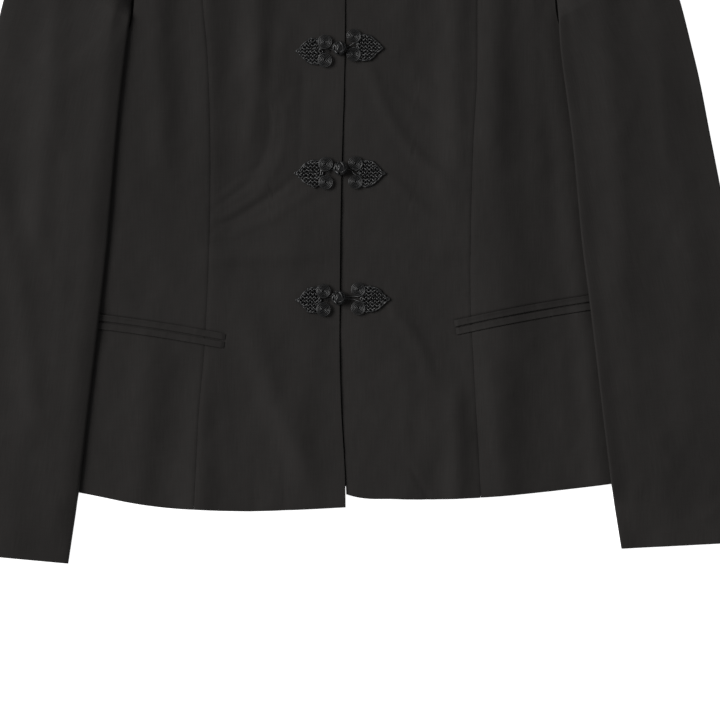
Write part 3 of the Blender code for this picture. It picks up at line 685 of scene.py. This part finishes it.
# %% The lines of the two sleeves
Ring = namedtuple("Ring", "inner_x inner_y outer_x outer_y reach")
SLEEVES = {
    "right": [
        Ring(-0.1946, 0.4700, -0.1980, 0.5730, 0.000),
        Ring(-0.1958, 0.4620, -0.2520, 0.5530, 0.001),
        Ring(-0.1970, 0.4500, -0.3010, 0.5020, 0.010),
        Ring(-0.2015, 0.4150, -0.3262, 0.4150, 0.024),
        Ring(-0.2088, 0.3478, -0.3400, 0.3450, 0.024),
        Ring(-0.2176, 0.2466, -0.3545, 0.2480, 0.016),
        Ring(-0.2259, 0.1711, -0.3650, 0.1750, 0.016),
        Ring(-0.2345, 0.0980, -0.3745, 0.1030, 0.016),
        Ring(-0.2429, 0.0258, -0.3830, 0.0340, 0.016),
        Ring(-0.2462, 0.0030, -0.3866, 0.0120, 0.016),
        Ring(-0.2543, -0.0510, -0.3930, -0.0380, 0.016),
    ],
    "left": [
        Ring(0.1942, 0.4700, 0.1980, 0.5730, 0.000),
        Ring(0.1952, 0.4620, 0.2520, 0.5530, 0.001),
        Ring(0.1960, 0.4500, 0.2950, 0.5020, 0.010),
        Ring(0.1984, 0.4150, 0.3210, 0.4150, 0.024),
        Ring(0.2088, 0.3358, 0.3375, 0.3340, 0.024),
        Ring(0.2171, 0.2466, 0.3548, 0.2460, 0.016),
        Ring(0.2243, 0.1900, 0.3665, 0.1900, 0.016),
        Ring(0.2345, 0.1040, 0.3800, 0.1060, 0.016),
        Ring(0.2430, 0.0330, 0.3890, 0.0400, 0.016),
        Ring(0.2462, 0.0110, 0.3905, 0.0180, 0.016),
        Ring(0.2539, -0.0373, 0.3930, -0.0300, 0.016),
    ],
}
SLEEVE_COLUMNS = 46  # across each wall
SLEEVE_TURN = 6  # steps round each folded edge
SLEEVE_EDGE = {"right": 0.0018, "left": 0.0006}
SLEEVE_RIM, RIM_REACH = {"right": 0, "left": 0.0022}, 0.010  # the inner edge stands up a little
SLEEVE_CLEAR, TABLE_LEVEL = 0.0004, 0.001  # clear of the body, but not of the table
FULL_REACH = 0.010  # a ring that reaches this far follows the body wholly
SLEEVE_FULLNESS = 0.0030
SLEEVE_REACH = 0.012
SLEEVE_BRIDGE = 0.036  # the upper wall bridges wider hollows than the lower one
SLEEVE_SEED = {"right": 11, "left": 15}
SLEEVE_SWELL = {"right": 0.45, "left": 1.5}  # less is fuller near the edges
OVER_RISE = 2.5  # how steeply the upper wall rises to what it bridges
EVEN_SHARE = 0.45  # of the points across, and the rest crowd towards the edges
EDGE_CUT = 0.02  # cloth taken up round a folded edge, as a share of the width

# %% How many lines a sleeve gets
def sleeve_stations(rings):
    """Places along the table, where 1.5 is halfway from the second ring to the third."""
    middles = [((r.inner_x + r.outer_x) / 2, (r.inner_y + r.outer_y) / 2) for r in rings]
    at = []
    for i, (start, end) in enumerate(zip(middles, middles[1:])):
        steps = max(3, round(math.dist(start, end) / PLAIN))
        at += [i + k / steps for k in range(steps)]
    last = len(rings) - 1
    length = math.dist(middles[-2], middles[-1])
    return np.unique([*at, *(last - EDGE_STEPS / length)])


print("lines across a sleeve:", {side: len(sleeve_stations(rings)) for side, rings in SLEEVES.items()})

# %% Wrap a grid round a sleeve
def sleeve(side, rows, under, over):
    rings, edge = SLEEVES[side], SLEEVE_EDGE[side]
    at = sleeve_stations(rings)
    whole = np.minimum(at.astype(int), len(rings) - 2)
    ring = {}
    for column in Ring._fields:
        values = np.array([getattr(row, column) for row in rings])
        ring[column] = eased(values, np.gradient(values), whole, at - whole)
    weight = np.clip(ring["reach"] / FULL_REACH, 0, 1)
    width = np.hypot(ring["outer_x"] - ring["inner_x"], ring["outer_y"] - ring["inner_y"])

    t = np.linspace(0, 1, SLEEVE_COLUMNS + 1)
    t = EVEN_SHARE * t + (1 - EVEN_SHARE) * (0.5 - 0.5 * np.cos(math.pi * t))
    turn = np.linspace(0, math.pi, SLEEVE_TURN + 1)[1:-1]
    # Round one ring: which wall (0 lower, 1 upper, or between them), and the place across it.
    level = np.concatenate([t * 0, 0.5 - 0.5 * np.cos(turn), t * 0 + 1, 0.5 + 0.5 * np.cos(turn), [0]])
    share = np.concatenate([t, turn * 0 + 1, t[::-1], turn * 0, [0]])
    bulge = np.concatenate([t * 0, np.sin(turn), t * 0, -np.sin(turn), [0]])

    def place(u, v):
        i = np.rint(u * (len(level) - 1)).astype(int)
        k = np.rint(v * (len(at) - 1)).astype(int)
        w = width[k]
        s = (edge + share[i] * (w - 2 * edge) + bulge[i] * edge) / w
        x = ring["inner_x"][k] + s * (ring["outer_x"][k] - ring["inner_x"][k])
        y = ring["inner_y"][k] + s * (ring["outer_y"][k] - ring["inner_y"][k])
        ground = weight[k] * under.at(x, y)
        lower = ground + SLEEVE_CLEAR * np.clip(ground / TABLE_LEVEL, 0, 1)
        middle = np.sin(math.pi * np.clip(s, 0, 1))
        level_over = np.maximum(weight[k] * over.at(x, y), ground)
        upper = lower + 2 * CLOTH + SEAM_GAP + SLEEVE_FULLNESS * middle ** SLEEVE_SWELL[side]
        upper += (level_over - ground) * np.clip(OVER_RISE * middle, 0, 1)
        upper += SLEEVE_RIM[side] * weight[k] * np.exp(-((s * w / RIM_REACH) ** 2))
        upper += (folds(rows, x, y) + ripples(x, y, SLEEVE_SEED[side])) * np.sqrt(middle)
        return x, y, lower + level[i] * (upper - lower)

    round_cut = np.concatenate([[0], np.cumsum(np.hypot(np.diff(share), EDGE_CUT * np.diff(level)))])
    middles = np.stack([(ring["inner_x"] + ring["outer_x"]) / 2, (ring["inner_y"] + ring["outer_y"]) / 2])
    down = np.concatenate([[0], np.cumsum(np.hypot(*np.diff(middles, axis=1)))])

    def cut(u, v):
        i = np.rint(u * (len(level) - 1)).astype(int)
        k = np.rint(v * (len(at) - 1)).astype(int)
        return (round_cut[i] - 0.5) * width[k], -down[k]

    us, vs = np.linspace(0, 1, len(level)), np.linspace(0, 1, len(at))
    shape = sheet_shape(us, vs, place, cut, closed=True)
    top = max(shape.faces, key=lambda face: face.calc_center_median().z)
    if top.normal.z < 0:
        bmesh.ops.reverse_faces(shape, faces=shape.faces)
    piece = new_piece(f"sleeve_{side}_cloth", shape, [f"sleeve_{side}"], "cloth")
    wall(piece, CLOTH, -1)
    print(f"sleeve {side}: {len(level) - 1} by {len(at)} points, {down[-1]:.3f} m long")
    return piece

# %% Make both sleeves
on_body = Heights([*FRONTS.values(), back, *JETS])
under_sleeves, over_body = on_body.bridged(SLEEVE_REACH), on_body.bridged(SLEEVE_BRIDGE)
for side, rows in (("right", RIGHT_SLEEVE_FOLDS), ("left", LEFT_SLEEVE_FOLDS)):
    sleeve(side, rows, under_sleeves, over_body)

# %% [markdown]
# ## The stand collar
#
# The collar is one band round the neck, open at the centre front. With the jacket on its back, the
# band's front half lies on its back half, and it folds over at each side of the neck. Its foot
# follows the necklines, and its top leans in a little.

# %% The foot of the collar
COLLAR_HEIGHT, COLLAR_LEAN = 0.040, 0.005
COLLAR_INSIDE = SEAM_GAP + CLOTH / 2
COLLAR_TURN = CLOTH / 2 + SEAM_GAP
COLLAR_PUFF, COLLAR_SWELL = 0.0005, 0.6
COLLAR_RIPPLE, COLLAR_SEED = 0.3, 21


def collar_foot():
    """(x, y, z) along the collar's foot, from one end at the centre front round to the other."""
    quarter = math.pi / 2
    low, high = CLOTH / 2, CLOTH / 2 + 2 * COLLAR_TURN
    half = []
    for turn in np.concatenate([np.linspace(0.004, 0.06, 3), np.linspace(0.09, quarter, 40)]):
        y = FRONT_NECK + (NECK_TOP - FRONT_NECK) * (1 - math.cos(turn))
        half.append(((NECK_HALF - COLLAR_INSIDE) * math.sin(turn), y + COLLAR_INSIDE, high))
    side_x, side_y, _ = half[-1]
    for turn in np.linspace(0, math.pi, 9)[1:-1]:
        up = low + COLLAR_TURN * (1 + math.cos(turn))
        half.append((side_x + COLLAR_TURN * math.sin(turn), side_y, up))
    for turn in np.linspace(quarter, 0, 30):
        y = BACK_NECK + (NECK_TOP - BACK_NECK) * (1 - math.cos(turn))
        half.append(((NECK_HALF - COLLAR_INSIDE) * math.sin(turn), y + COLLAR_INSIDE, low))
    return np.array([(-x, y, z) for x, y, z in half[:-1]] + half[::-1])

# %% Stand the band on the necklines
foot = collar_foot()
foot_run = np.concatenate([[0], np.cumsum(np.linalg.norm(np.diff(foot, axis=0), axis=1))])


def collar_place(u, v):
    i = np.rint(u * (len(foot) - 1)).astype(int)
    x, y, z = foot[i].T
    lean = v * COLLAR_LEAN * (x / NECK_HALF) * np.abs(x / NECK_HALF)
    is_front = z > CLOTH
    puff = COLLAR_PUFF * np.sin(math.pi * np.clip(v, 0, 1)) ** COLLAR_SWELL * is_front
    uneven = COLLAR_RIPPLE * is_front * np.abs(ripples(x, y + v * COLLAR_HEIGHT, COLLAR_SEED))
    return x - lean, y + v * COLLAR_HEIGHT, z + puff + uneven


def collar_cut(u, v):
    return foot_run[np.rint(u * (len(foot) - 1)).astype(int)], v * COLLAR_HEIGHT


us, vs = np.linspace(0, 1, len(foot)), stops(COLLAR_HEIGHT, 0.003)
collar_shape = sheet_shape(us, vs, collar_place, collar_cut)
collar = new_piece("collar_cloth", collar_shape, ["collar"], "cloth")
wall(collar, CLOTH, 0)
print(f"collar: {foot_run[-1]:.3f} m round its foot")

# %% [markdown]
# ## The frogs
#
# A frog is made of round satin cord, which is finer in the leaf and the coils than in the ball. Its
# leaf is a flat plait, in which the cord passes over and under itself by turns and turns back at the
# edges, with one more cord laid round it as an edging. Two coils are wound flat beside the
# fastening. On one half the cord then goes on into a loop, and on the other into a stem that ends
# in a ball knot. A curve with a round bevel makes cord, so what has to be worked out is its path.
#
# The leaf's path comes from a drawing that lace makers use. Crossings stand on a slanted lattice,
# and a cord runs straight on through each one. Where the lattice ends, two neighbouring loose ends
# are joined by a turn. Such a drawing can always be plaited over and under by turns.

# %% Sizes of a leaf, and a smooth curve
LEAF_REACH = (5, 6, 5, 6, 5, 6, 5, 4, 3, 2, 1, 0)  # the outermost crossing of each column, coils to tip
LEAF_START, LEAF_STEP = 0.0040, 0.00194
LEAF_SPREAD, LEAF_TAPER = 0.00172, 0.00001
LEAF_LOOSE = 0.20  # unevenness of hand work, as a share of the lattice
CURVE_STEPS = 5
TURN_OUT, TIP_OUT = 0.5, 0.8  # where the cord leaves its straight line, in lattice steps
TURN_APEX, TIP_APEX = 0.30, 0.9  # how far out a turn goes


def smooth_path(points, closed):
    """Points on a smooth curve through these ones."""
    points = np.array(points, float)
    if closed:
        points = np.concatenate([points[-1:], points, points[:2]])
    else:
        points = np.concatenate([2 * points[:1] - points[1:2], points, 2 * points[-1:] - points[-2:-1]])
    slopes = (points[2:] - points[:-2]) / 2
    path = [
        eased(points[1:-1], slopes, i, t)
        for i in range(len(points) - 3)
        for t in np.arange(CURVE_STEPS) / CURVE_STEPS
    ]
    return np.array(path if closed else [*path, points[-2]])

# %% Draw the plait
def leaf_drawing():
    """Closed paths (along, across, up) through the lattice, with up from -1 to 1."""
    crossings = {(i, j) for i, reach in enumerate(LEAF_REACH) for j in range(-reach, reach + 1, 2)}
    ways = [(1, 1), (-1, 1), (-1, -1), (1, -1)]
    ends = [(i, j, a, b) for i, j in crossings for a, b in ways if (i + a, j + b) not in crossings]
    middle = len(LEAF_REACH) / 2 - 1.5
    ends.sort(key=lambda e: math.atan2(e[1] + e[3] / 2, e[0] + e[2] / 2 - middle) % (2 * math.pi))
    ends = ends[1:] + ends[:1]  # the two ends at the tip are joined to each other
    turns = {}
    for one, other in zip(ends[::2], ends[1::2]):
        turns[one], turns[other] = other, one

    paths, done = [], set()
    for start in sorted((i, j, a, b) for i, j in crossings for a, b in ways):
        if start in done:
            continue
        i, j, a, b = start
        path = []
        while (i, j, a, b) not in done:
            done |= {(i, j, a, b), (i, j, -a, -b)}
            path.append((i, j, 1 if (a * b > 0) == (i % 2 == 0) else -1))
            if (i + a, j + b) in crossings:
                i, j = i + a, j + b
                continue
            i2, j2, a2, b2 = turns[i, j, a, b]
            is_tip = (i, j) == (i2, j2)
            out = TIP_OUT if is_tip else TURN_OUT
            first, last = np.array([i + out * a, j + out * b]), np.array([i2 + out * a2, j2 + out * b2])
            away = np.array([a + a2, b + b2]) / max(math.hypot(a + a2, b + b2), 1)
            reach = TIP_APEX if is_tip else TURN_APEX * np.linalg.norm(last - first)
            apex = (first + last) / 2 + away * reach
            path += [(*first, 0), (*apex, 0), (*last, 0)]
            i, j, a, b = i2, j2, -a2, -b2
        paths.append(path)
    return paths

# %% Lay a cord round it
# The edging cord, on the same lattice: one side of it, from the coils to the tip.
LEAF_EDGE = [(0.4, 0.0), (0.0, 3.0), (0.3, 5.8), (1.8, 6.8), (3.7, 6.9)]
LEAF_EDGE += [(5.8, 6.5), (7.9, 5.0), (9.8, 3.0), (11.2, 1.2)]
LEAF_TIP, EDGE_WEAVE = (12.0, 0.0), 0.5
edging = [*LEAF_EDGE, LEAF_TIP, *((i, -j) for i, j in LEAF_EDGE[:0:-1])]
LEAF_PATHS = [*leaf_drawing(), [(i, j, EDGE_WEAVE * (-1) ** k) for k, (i, j) in enumerate(edging)]]
print("cords in a leaf:", len(LEAF_PATHS), "with points", [len(path) for path in LEAF_PATHS])

# %% [markdown]
# ## The coils, the loop, the stem and the ball knot
#
# Each coil is wound flat from its middle outwards, and its outer end leaves towards the fastening.
# On the loop half that cord runs from one coil round the knot's neck to the other. On the knot half
# the two ends lie side by side under the loop and go up into the ball. The ball is a Turk's head
# pulled tight: a cord that runs round a globe and swings from pole to pole, over and under by turns.

# %% Sizes of the frogs
CORD_RADIUS = 0.00088
LEAF_CORD = 0.00068  # the leaf and the coils are of finer cord than the ball
FLAT_STEP = 0.00050  # up or down from the middle of the plait at a crossing
COIL_APART, COIL_TURNS = 0.0083, 5.0
COIL_INNER, COIL_OUTER, COIL_RIM = 0.0006, 0.0063, 0.0065
COIL_CORD = 0.00048
COIL_RAISE, COIL_DOME = 0.0017, 0.0001  # the coils lie on the leaf
COIL_ROUND = 0.6  # of a turn, in which the coil has stopped growing
LOOP_RADIUS, LOOP_TURN = 0.0062, math.radians(155)
LOOP_NECK = [(-0.0042, 0.0013), (0.0072, 0.0011)]  # its two cords: beside the coils, and at the ring
STEM_START, STEM_SPREAD, STEM_APART = 0.0045, 0.0006, 0.9
STEM = [(0.0055, 0.0), (0.0025, 0.0003), (0.0006, 0.0022)]  # away from the ball, and up
KNOT_RADIUS, KNOT_HEIGHT, KNOT_CENTRE = 0.0056, 0.0039, 0.0052
KNOT_LEADS, KNOT_BIGHTS, KNOT_TILT = 3, 5, math.radians(74)
KNOT_SWING = math.radians(66)  # how near to its poles the cord goes
KNOT_WEAVE, KNOT_SOFT = 0.10, 0.05  # over and under, as a share of the radius, and how gently
KNOT_SINK, KNOT_CORE = 0.2, 0.86
FROG_BRIDGE = 0.006

Frog = namedtuple(
    "Frog",
    "x y knot_rise half_rise to_loop_coils to_stem_coils loop_leaf knot_leaf leaf_rise",
)
FROGS = [
    Frog(-0.0048, 0.5364, 0.0022, 0.0018, 0.0132, 0.0135, 0.96, 0.97, 0.0000),
    Frog(-0.0052, 0.4198, 0.0027, 0.0053, 0.0132, 0.0132, 0.94, 0.95, -0.0024),
    Frog(-0.0042, 0.3076, 0.0045, 0.0006, 0.0134, 0.0138, 1.00, 0.94, -0.0008),
    Frog(-0.0059, 0.1910, 0.0022, 0.0014, 0.0138, 0.0180, 0.87, 1.00, -0.0004),
]

# %% Wind a coil
def coil(out, side):
    """From a coil's middle to where its cord leaves, as (away from the knot, across, up)."""
    turns = COIL_TURNS * 2 * math.pi
    points = []
    for t in np.linspace(0, 1, 50):
        angle = -side * (math.pi / 2 - (1 - t) * turns)
        grown = min(t * COIL_TURNS / (COIL_TURNS - COIL_ROUND), 1)
        radius = COIL_INNER + (COIL_OUTER - COIL_INNER) * grown
        up = CORD_RADIUS + COIL_RAISE + COIL_DOME * (1 - (radius / COIL_RIM) ** 2)
        points.append((out + radius * math.cos(angle), side * COIL_APART + radius * math.sin(angle), up))
    return points


wound = coil(0, 1)
print(f"cord in a coil: {sum(map(math.dist, wound, wound[1:])):.3f} m")

# %% Tie the ball
def ball_path():
    """A Turk's head round a globe, tilted so that no pole is seen from above."""
    points = []
    for t in np.linspace(0, 2 * math.pi, 90, endpoint=False):
        swing = math.sin(KNOT_BIGHTS * t)
        weave = math.cos(KNOT_LEADS * KNOT_BIGHTS * t) * swing / math.sqrt(swing**2 + KNOT_SOFT)
        radius = KNOT_RADIUS * (1 + KNOT_WEAVE * weave) - KNOT_SINK * CORD_RADIUS
        latitude, longitude = KNOT_SWING * math.cos(KNOT_BIGHTS * t), KNOT_LEADS * t
        across, up = radius * math.cos(latitude), radius * math.sin(latitude)
        spot = Vector((across * math.cos(longitude), across * math.sin(longitude), up))
        spot = Matrix.Rotation(KNOT_TILT, 3, "X") @ spot
        points.append((spot.x, spot.y, spot.z * KNOT_HEIGHT / KNOT_RADIUS))
    return points


ball = ball_path()
print(f"cord in a ball: {sum(map(math.dist, ball, ball[1:])):.3f} m")


# %% Lay cord along paths
def cords(paths, radius=CORD_RADIUS, roundness=1):
    """A mesh of round cords along (points, is closed) paths."""
    curve = bpy.data.curves.new("cord", "CURVE")
    curve.dimensions, curve.bevel_depth, curve.bevel_resolution = "3D", radius, roundness
    curve.use_fill_caps = True
    for points, is_closed in paths:
        spline = curve.splines.new("POLY")
        spline.points.add(len(points) - 1)
        spline.points.foreach_set("co", np.c_[points, np.ones(len(points))].ravel())
        spline.use_cyclic_u = is_closed
    guide = bpy.data.objects.new("cord", curve)
    bpy.context.scene.collection.objects.link(guide)
    mesh = shown_mesh(guide)
    bpy.data.objects.remove(guide)
    return mesh

# %% Put one half of a frog together
def frog_half(number, frog, has_knot):
    towards = 1 if has_knot else -1
    out = frog.to_stem_coils if has_knot else frog.to_loop_coils
    middle = frog.y + (frog.half_rise if has_knot else 0)
    knot = frog.y + frog.knot_rise - middle
    long = frog.knot_leaf if has_knot else frog.loop_leaf
    draw = np.random.default_rng(10 * number + has_knot)

    paths = []
    for drawing in LEAF_PATHS:
        points = []
        for i, j, up in drawing:
            away = out + (LEAF_START + (i + LEAF_LOOSE * draw.normal()) * LEAF_STEP) * long
            across = (j + LEAF_LOOSE * draw.normal()) * (LEAF_SPREAD - LEAF_TAPER * i)
            points.append((away, across + has_knot * frog.leaf_rise, LEAF_CORD + FLAT_STEP * (1 + up)))
        paths.append((smooth_path(points, True), True))
    in_leaf = len(paths)

    upper, lower = coil(out, 1), coil(out, -1)
    low, high = CORD_RADIUS, 3 * CORD_RADIUS
    if has_knot:
        for side, wound in ((1, upper), (-1, lower)):
            beside = knot + side * STEM_APART * CORD_RADIUS
            stem = [(out - STEM_START, beside + side * STEM_SPREAD, low)]
            stem += [(away, beside, low + up) for away, up in STEM] + [(0, beside, KNOT_CENTRE)]
            paths.append((smooth_path([*wound, *stem], False), False))
    else:
        ring = []
        for turn in np.linspace(LOOP_TURN, -LOOP_TURN, 15):
            climb = (1 - math.cos(turn)) / 2  # low beside the coils, high over the stem
            spot = (LOOP_RADIUS * -math.cos(turn), knot + LOOP_RADIUS * math.sin(turn))
            ring.append((*spot, low + (1 - climb) * (high - low)))
        (behind, wide), (ahead, narrow) = LOOP_NECK
        start = [(out + behind, knot + wide, low), (ahead, knot + narrow, low)]
        end = [(ahead, knot - narrow, low), (out + behind, knot - wide, low)]
        paths.append((smooth_path([*upper, *start, *ring, *end, *lower[::-1]], False), False))

    laid = []
    for points, is_closed in paths:
        points = points.copy()
        points[:, 0] = frog.x + towards * points[:, 0]
        points[:, 1] += middle
        points[:, 2] += SEAM_GAP + frog_level.at(points[:, 0], points[:, 1])
        laid.append((points, is_closed))
    shape = bmesh.new()
    shape.from_mesh(cords(laid[:in_leaf], LEAF_CORD))
    shape.from_mesh(cords(laid[in_leaf:], COIL_CORD))
    if has_knot:
        ground = SEAM_GAP + float(frog_level.at(np.array([frog.x]), np.array([middle + knot]))[0])
        centre = np.array([frog.x, middle + knot, ground + KNOT_CENTRE])
        shape.from_mesh(cords([(smooth_path(ball_path(), True) + centre, True)], roundness=2))
        core = Matrix.Translation(centre.tolist()) @ Matrix.Diagonal((1, 1, KNOT_HEIGHT / KNOT_RADIUS, 1))
        bmesh.ops.create_icosphere(shape, subdivisions=3, radius=KNOT_CORE * KNOT_RADIUS, matrix=core)
    bmesh.ops.remove_doubles(shape, verts=shape.verts, dist=1e-6)
    bmesh.ops.recalc_face_normals(shape, faces=shape.faces)
    node = f"frog_{number}_{'knot' if has_knot else 'loop'}"
    return new_piece(node + "_cord", shape, [node], "cord")

# %% Make all eight
frog_level = on_fronts.bridged(FROG_BRIDGE)
for number, frog in enumerate(FROGS, start=1):
    for has_knot in (False, True):
        half = frog_half(number, frog, has_knot)
        print(half.name, len(half.data.polygons), "faces")

# %% [markdown]
# ## Materials, written as arithmetic
#
# A small class wraps a shader value, so that a finish can be written as a sum. The cloth is black
# plain weave: its threads are too fine to see from here, but their slubs show as short streaks along
# the grain, with fainter ones across it. The cord is satin, so it has a softer, brighter shine.

# %% A value in a material
class Value:
    """An output of a shader node that can be added, multiplied and so on."""

    def __init__(self, tree, socket):
        self.tree, self.socket = tree, socket

    def node(self, kind, settings=(), output=0, **inputs):
        made = self.tree.nodes.new(kind)
        for key, setting in dict(settings).items():
            setattr(made, key, setting)
        for key, given in inputs.items():
            is_numbered = key[0] == "i" and key[1:].isdigit()
            place = made.inputs[int(key[1:]) if is_numbered else key.replace("_", " ")]
            if isinstance(given, Value):
                self.tree.links.new(given.socket, place)
            else:
                place.default_value = given
        return Value(self.tree, made.outputs[output])

    def math(self, operation, *others):
        inputs = {f"i{k}": value for k, value in enumerate((self, *others))}
        return self.node("ShaderNodeMath", {"operation": operation}, **inputs)

    def __add__(self, other):
        return self.math("ADD", other)

    def __sub__(self, other):
        return self.math("SUBTRACT", other)

    def __rsub__(self, other):
        return (self * -1) + other

    def __mul__(self, other):
        return self.math("MULTIPLY", other)

    __radd__, __rmul__ = __add__, __mul__

    def stretched(self, scale):
        """A vector with each axis multiplied by its own number."""
        return self.node("ShaderNodeVectorMath", {"operation": "MULTIPLY"}, i0=self, i1=scale)

    def noise(self, detail=2.0):
        return self.node("ShaderNodeTexNoise", Vector=self, Scale=1.0, Detail=detail, Roughness=0.55)


def new_material(name, **uniform):
    """A material, its shader and a value to write with."""
    material = bpy.data.materials.new(name)
    material.use_nodes = True
    shader = material.node_tree.nodes["Principled BSDF"]
    for key, setting in uniform.items():
        shader.inputs[key.replace("_", " ")].default_value = setting
    return material, shader, Value(material.node_tree, None)


def mixed(start, share, dark, light):
    return start.node("ShaderNodeMix", {"data_type": "RGBA"}, 2, i0=share, i6=dark, i7=light)


# %% The cloth
CLOTH_DARK = (0.0112, 0.0101, 0.0094, 1)
CLOTH_LIGHT = (0.0228, 0.0208, 0.0195, 1)
WARP_SLUB, WEFT_SLUB = (1100, 42, 0), (55, 1100, 0)  # waves in a metre, across and along the grain
GRAIN, PATCH = (1500, 1500, 0), (16, 9, 0)


def cloth_material():
    material, shader, start = new_material("black_slub_cloth", Specular_IOR_Level=0.14, Roughness=0.82)
    flat = start.node("ShaderNodeUVMap", {"uv_map": "UVMap"})
    warp_slub, weft_slub = flat.stretched(WARP_SLUB).noise(3), flat.stretched(WEFT_SLUB).noise(2)
    grain, patch = flat.stretched(GRAIN).noise(1), flat.stretched(PATCH).noise(2)
    share = warp_slub * 0.75 + weft_slub * 0.35 + grain * 0.35 + patch * 0.7 - 0.575
    start.tree.links.new(mixed(start, share, CLOTH_DARK, CLOTH_LIGHT).socket, shader.inputs["Base Color"])
    relief = warp_slub * 0.6 + weft_slub * 0.35 + grain * 0.5
    bump = start.node("ShaderNodeBump", Strength=0.35, Distance=0.00035, Height=relief)
    start.tree.links.new(bump.socket, shader.inputs["Normal"])
    return material


# %% The cord
CORD_DARK, CORD_LIGHT = (0.0014, 0.0013, 0.0013, 1), (0.0042, 0.0040, 0.0039, 1)
FLECK, FILAMENT = 3 * (900,), 3 * (3200,)  # waves in a metre


def cord_material():
    material, shader, start = new_material("black_satin_cord", Roughness=0.40, Specular_IOR_Level=0.56)
    place = start.node("ShaderNodeTexCoord", output=3)
    fleck, fine = place.stretched(FLECK).noise(2), place.stretched(FILAMENT).noise(1)
    start.tree.links.new(mixed(start, fleck, CORD_DARK, CORD_LIGHT).socket, shader.inputs["Base Color"])
    bump = start.node("ShaderNodeBump", Strength=0.4, Distance=0.00012, Height=fleck * 0.6 + fine * 0.4)
    start.tree.links.new(bump.socket, shader.inputs["Normal"])
    return material


FINISHES = {"cloth": cloth_material(), "cord": cord_material()}
print("finishes:", [finish.name for finish in FINISHES.values()])

# %% [markdown]
# ## Put the jacket in its place
#
# Every mesh moves to the frame, takes its finish and rides the body, and the plain solid it stands
# for is hidden.

# %% Move, dress and attach every piece, and hide the solid it stands for
for name, (piece, nodes, kind) in JACKET.items():
    piece.data.transform(Matrix.Translation(TO_FRAME))
    piece.data.materials.append(FINISHES[kind])
    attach(piece, "root")
    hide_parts(*nodes)

# %% A record for a piece's cut: its width and length, what it lies on, and the pieces sewn to it
Cut = namedtuple("Cut", "name width length on sewn", defaults=[()])

# %% The table that it lies on
FLOOR, FLOOR_LEVEL = 6.0, -0.0002
bpy.ops.mesh.primitive_plane_add(size=FLOOR, location=(0, 0, FLOOR_LEVEL))
floor = bpy.context.object
floor.name = "floor"
floor_finish, _, _ = new_material(
    "white_table", Base_Color=(0.9, 0.9, 0.9, 1), Roughness=1.0, Specular_IOR_Level=0.0,
    Emission_Color=(1, 1, 1, 1), Emission_Strength=0.9,
)
floor.data.materials.append(floor_finish)

# %% [markdown]
# ## Camera and light
#
# The jacket is seen from straight above, with a long lens. One soft light comes from the left and a
# little from the collar, low enough to draw the folds, and a pale surround fills the rest.

# %% The camera
FIELD, ABOVE, SENSOR = 0.662, 5.0, 0.036
AIM = (0.0138, -0.1679)
scene = bpy.context.scene
camera_data = bpy.data.cameras.new("camera")
camera_data.sensor_width = SENSOR * 1000
camera_data.lens = SENSOR * 1000 * ABOVE / FIELD
camera = bpy.data.objects.new("camera", camera_data)
camera.location = (*AIM, ABOVE)
scene.collection.objects.link(camera)
scene.camera = camera
print(f"lens: {camera_data.lens:.0f} mm, {ABOVE} m above the jacket")

# %% The light
KEY_STRENGTH, KEY_SPREAD = 3.28, math.radians(34)
KEY_FROM = Vector((-0.95, 0.28, 0.84))
key_data = bpy.data.lights.new("key", "SUN")
key_data.energy, key_data.angle = KEY_STRENGTH, KEY_SPREAD
key = bpy.data.objects.new("key", key_data)
key.location = KEY_FROM
key.rotation_euler = (-KEY_FROM).to_track_quat("-Z", "Y").to_euler()
scene.collection.objects.link(key)

# %% The surround
SURROUND, SURROUND_STRENGTH = (0.95, 0.97, 1.0, 1), 0.30
world = bpy.data.worlds.new("pale surround")
world.use_nodes = True
background = world.node_tree.nodes["Background"]
background.inputs["Color"].default_value = SURROUND
background.inputs["Strength"].default_value = SURROUND_STRENGTH
scene.world = world
scene.view_settings.view_transform = "Standard"
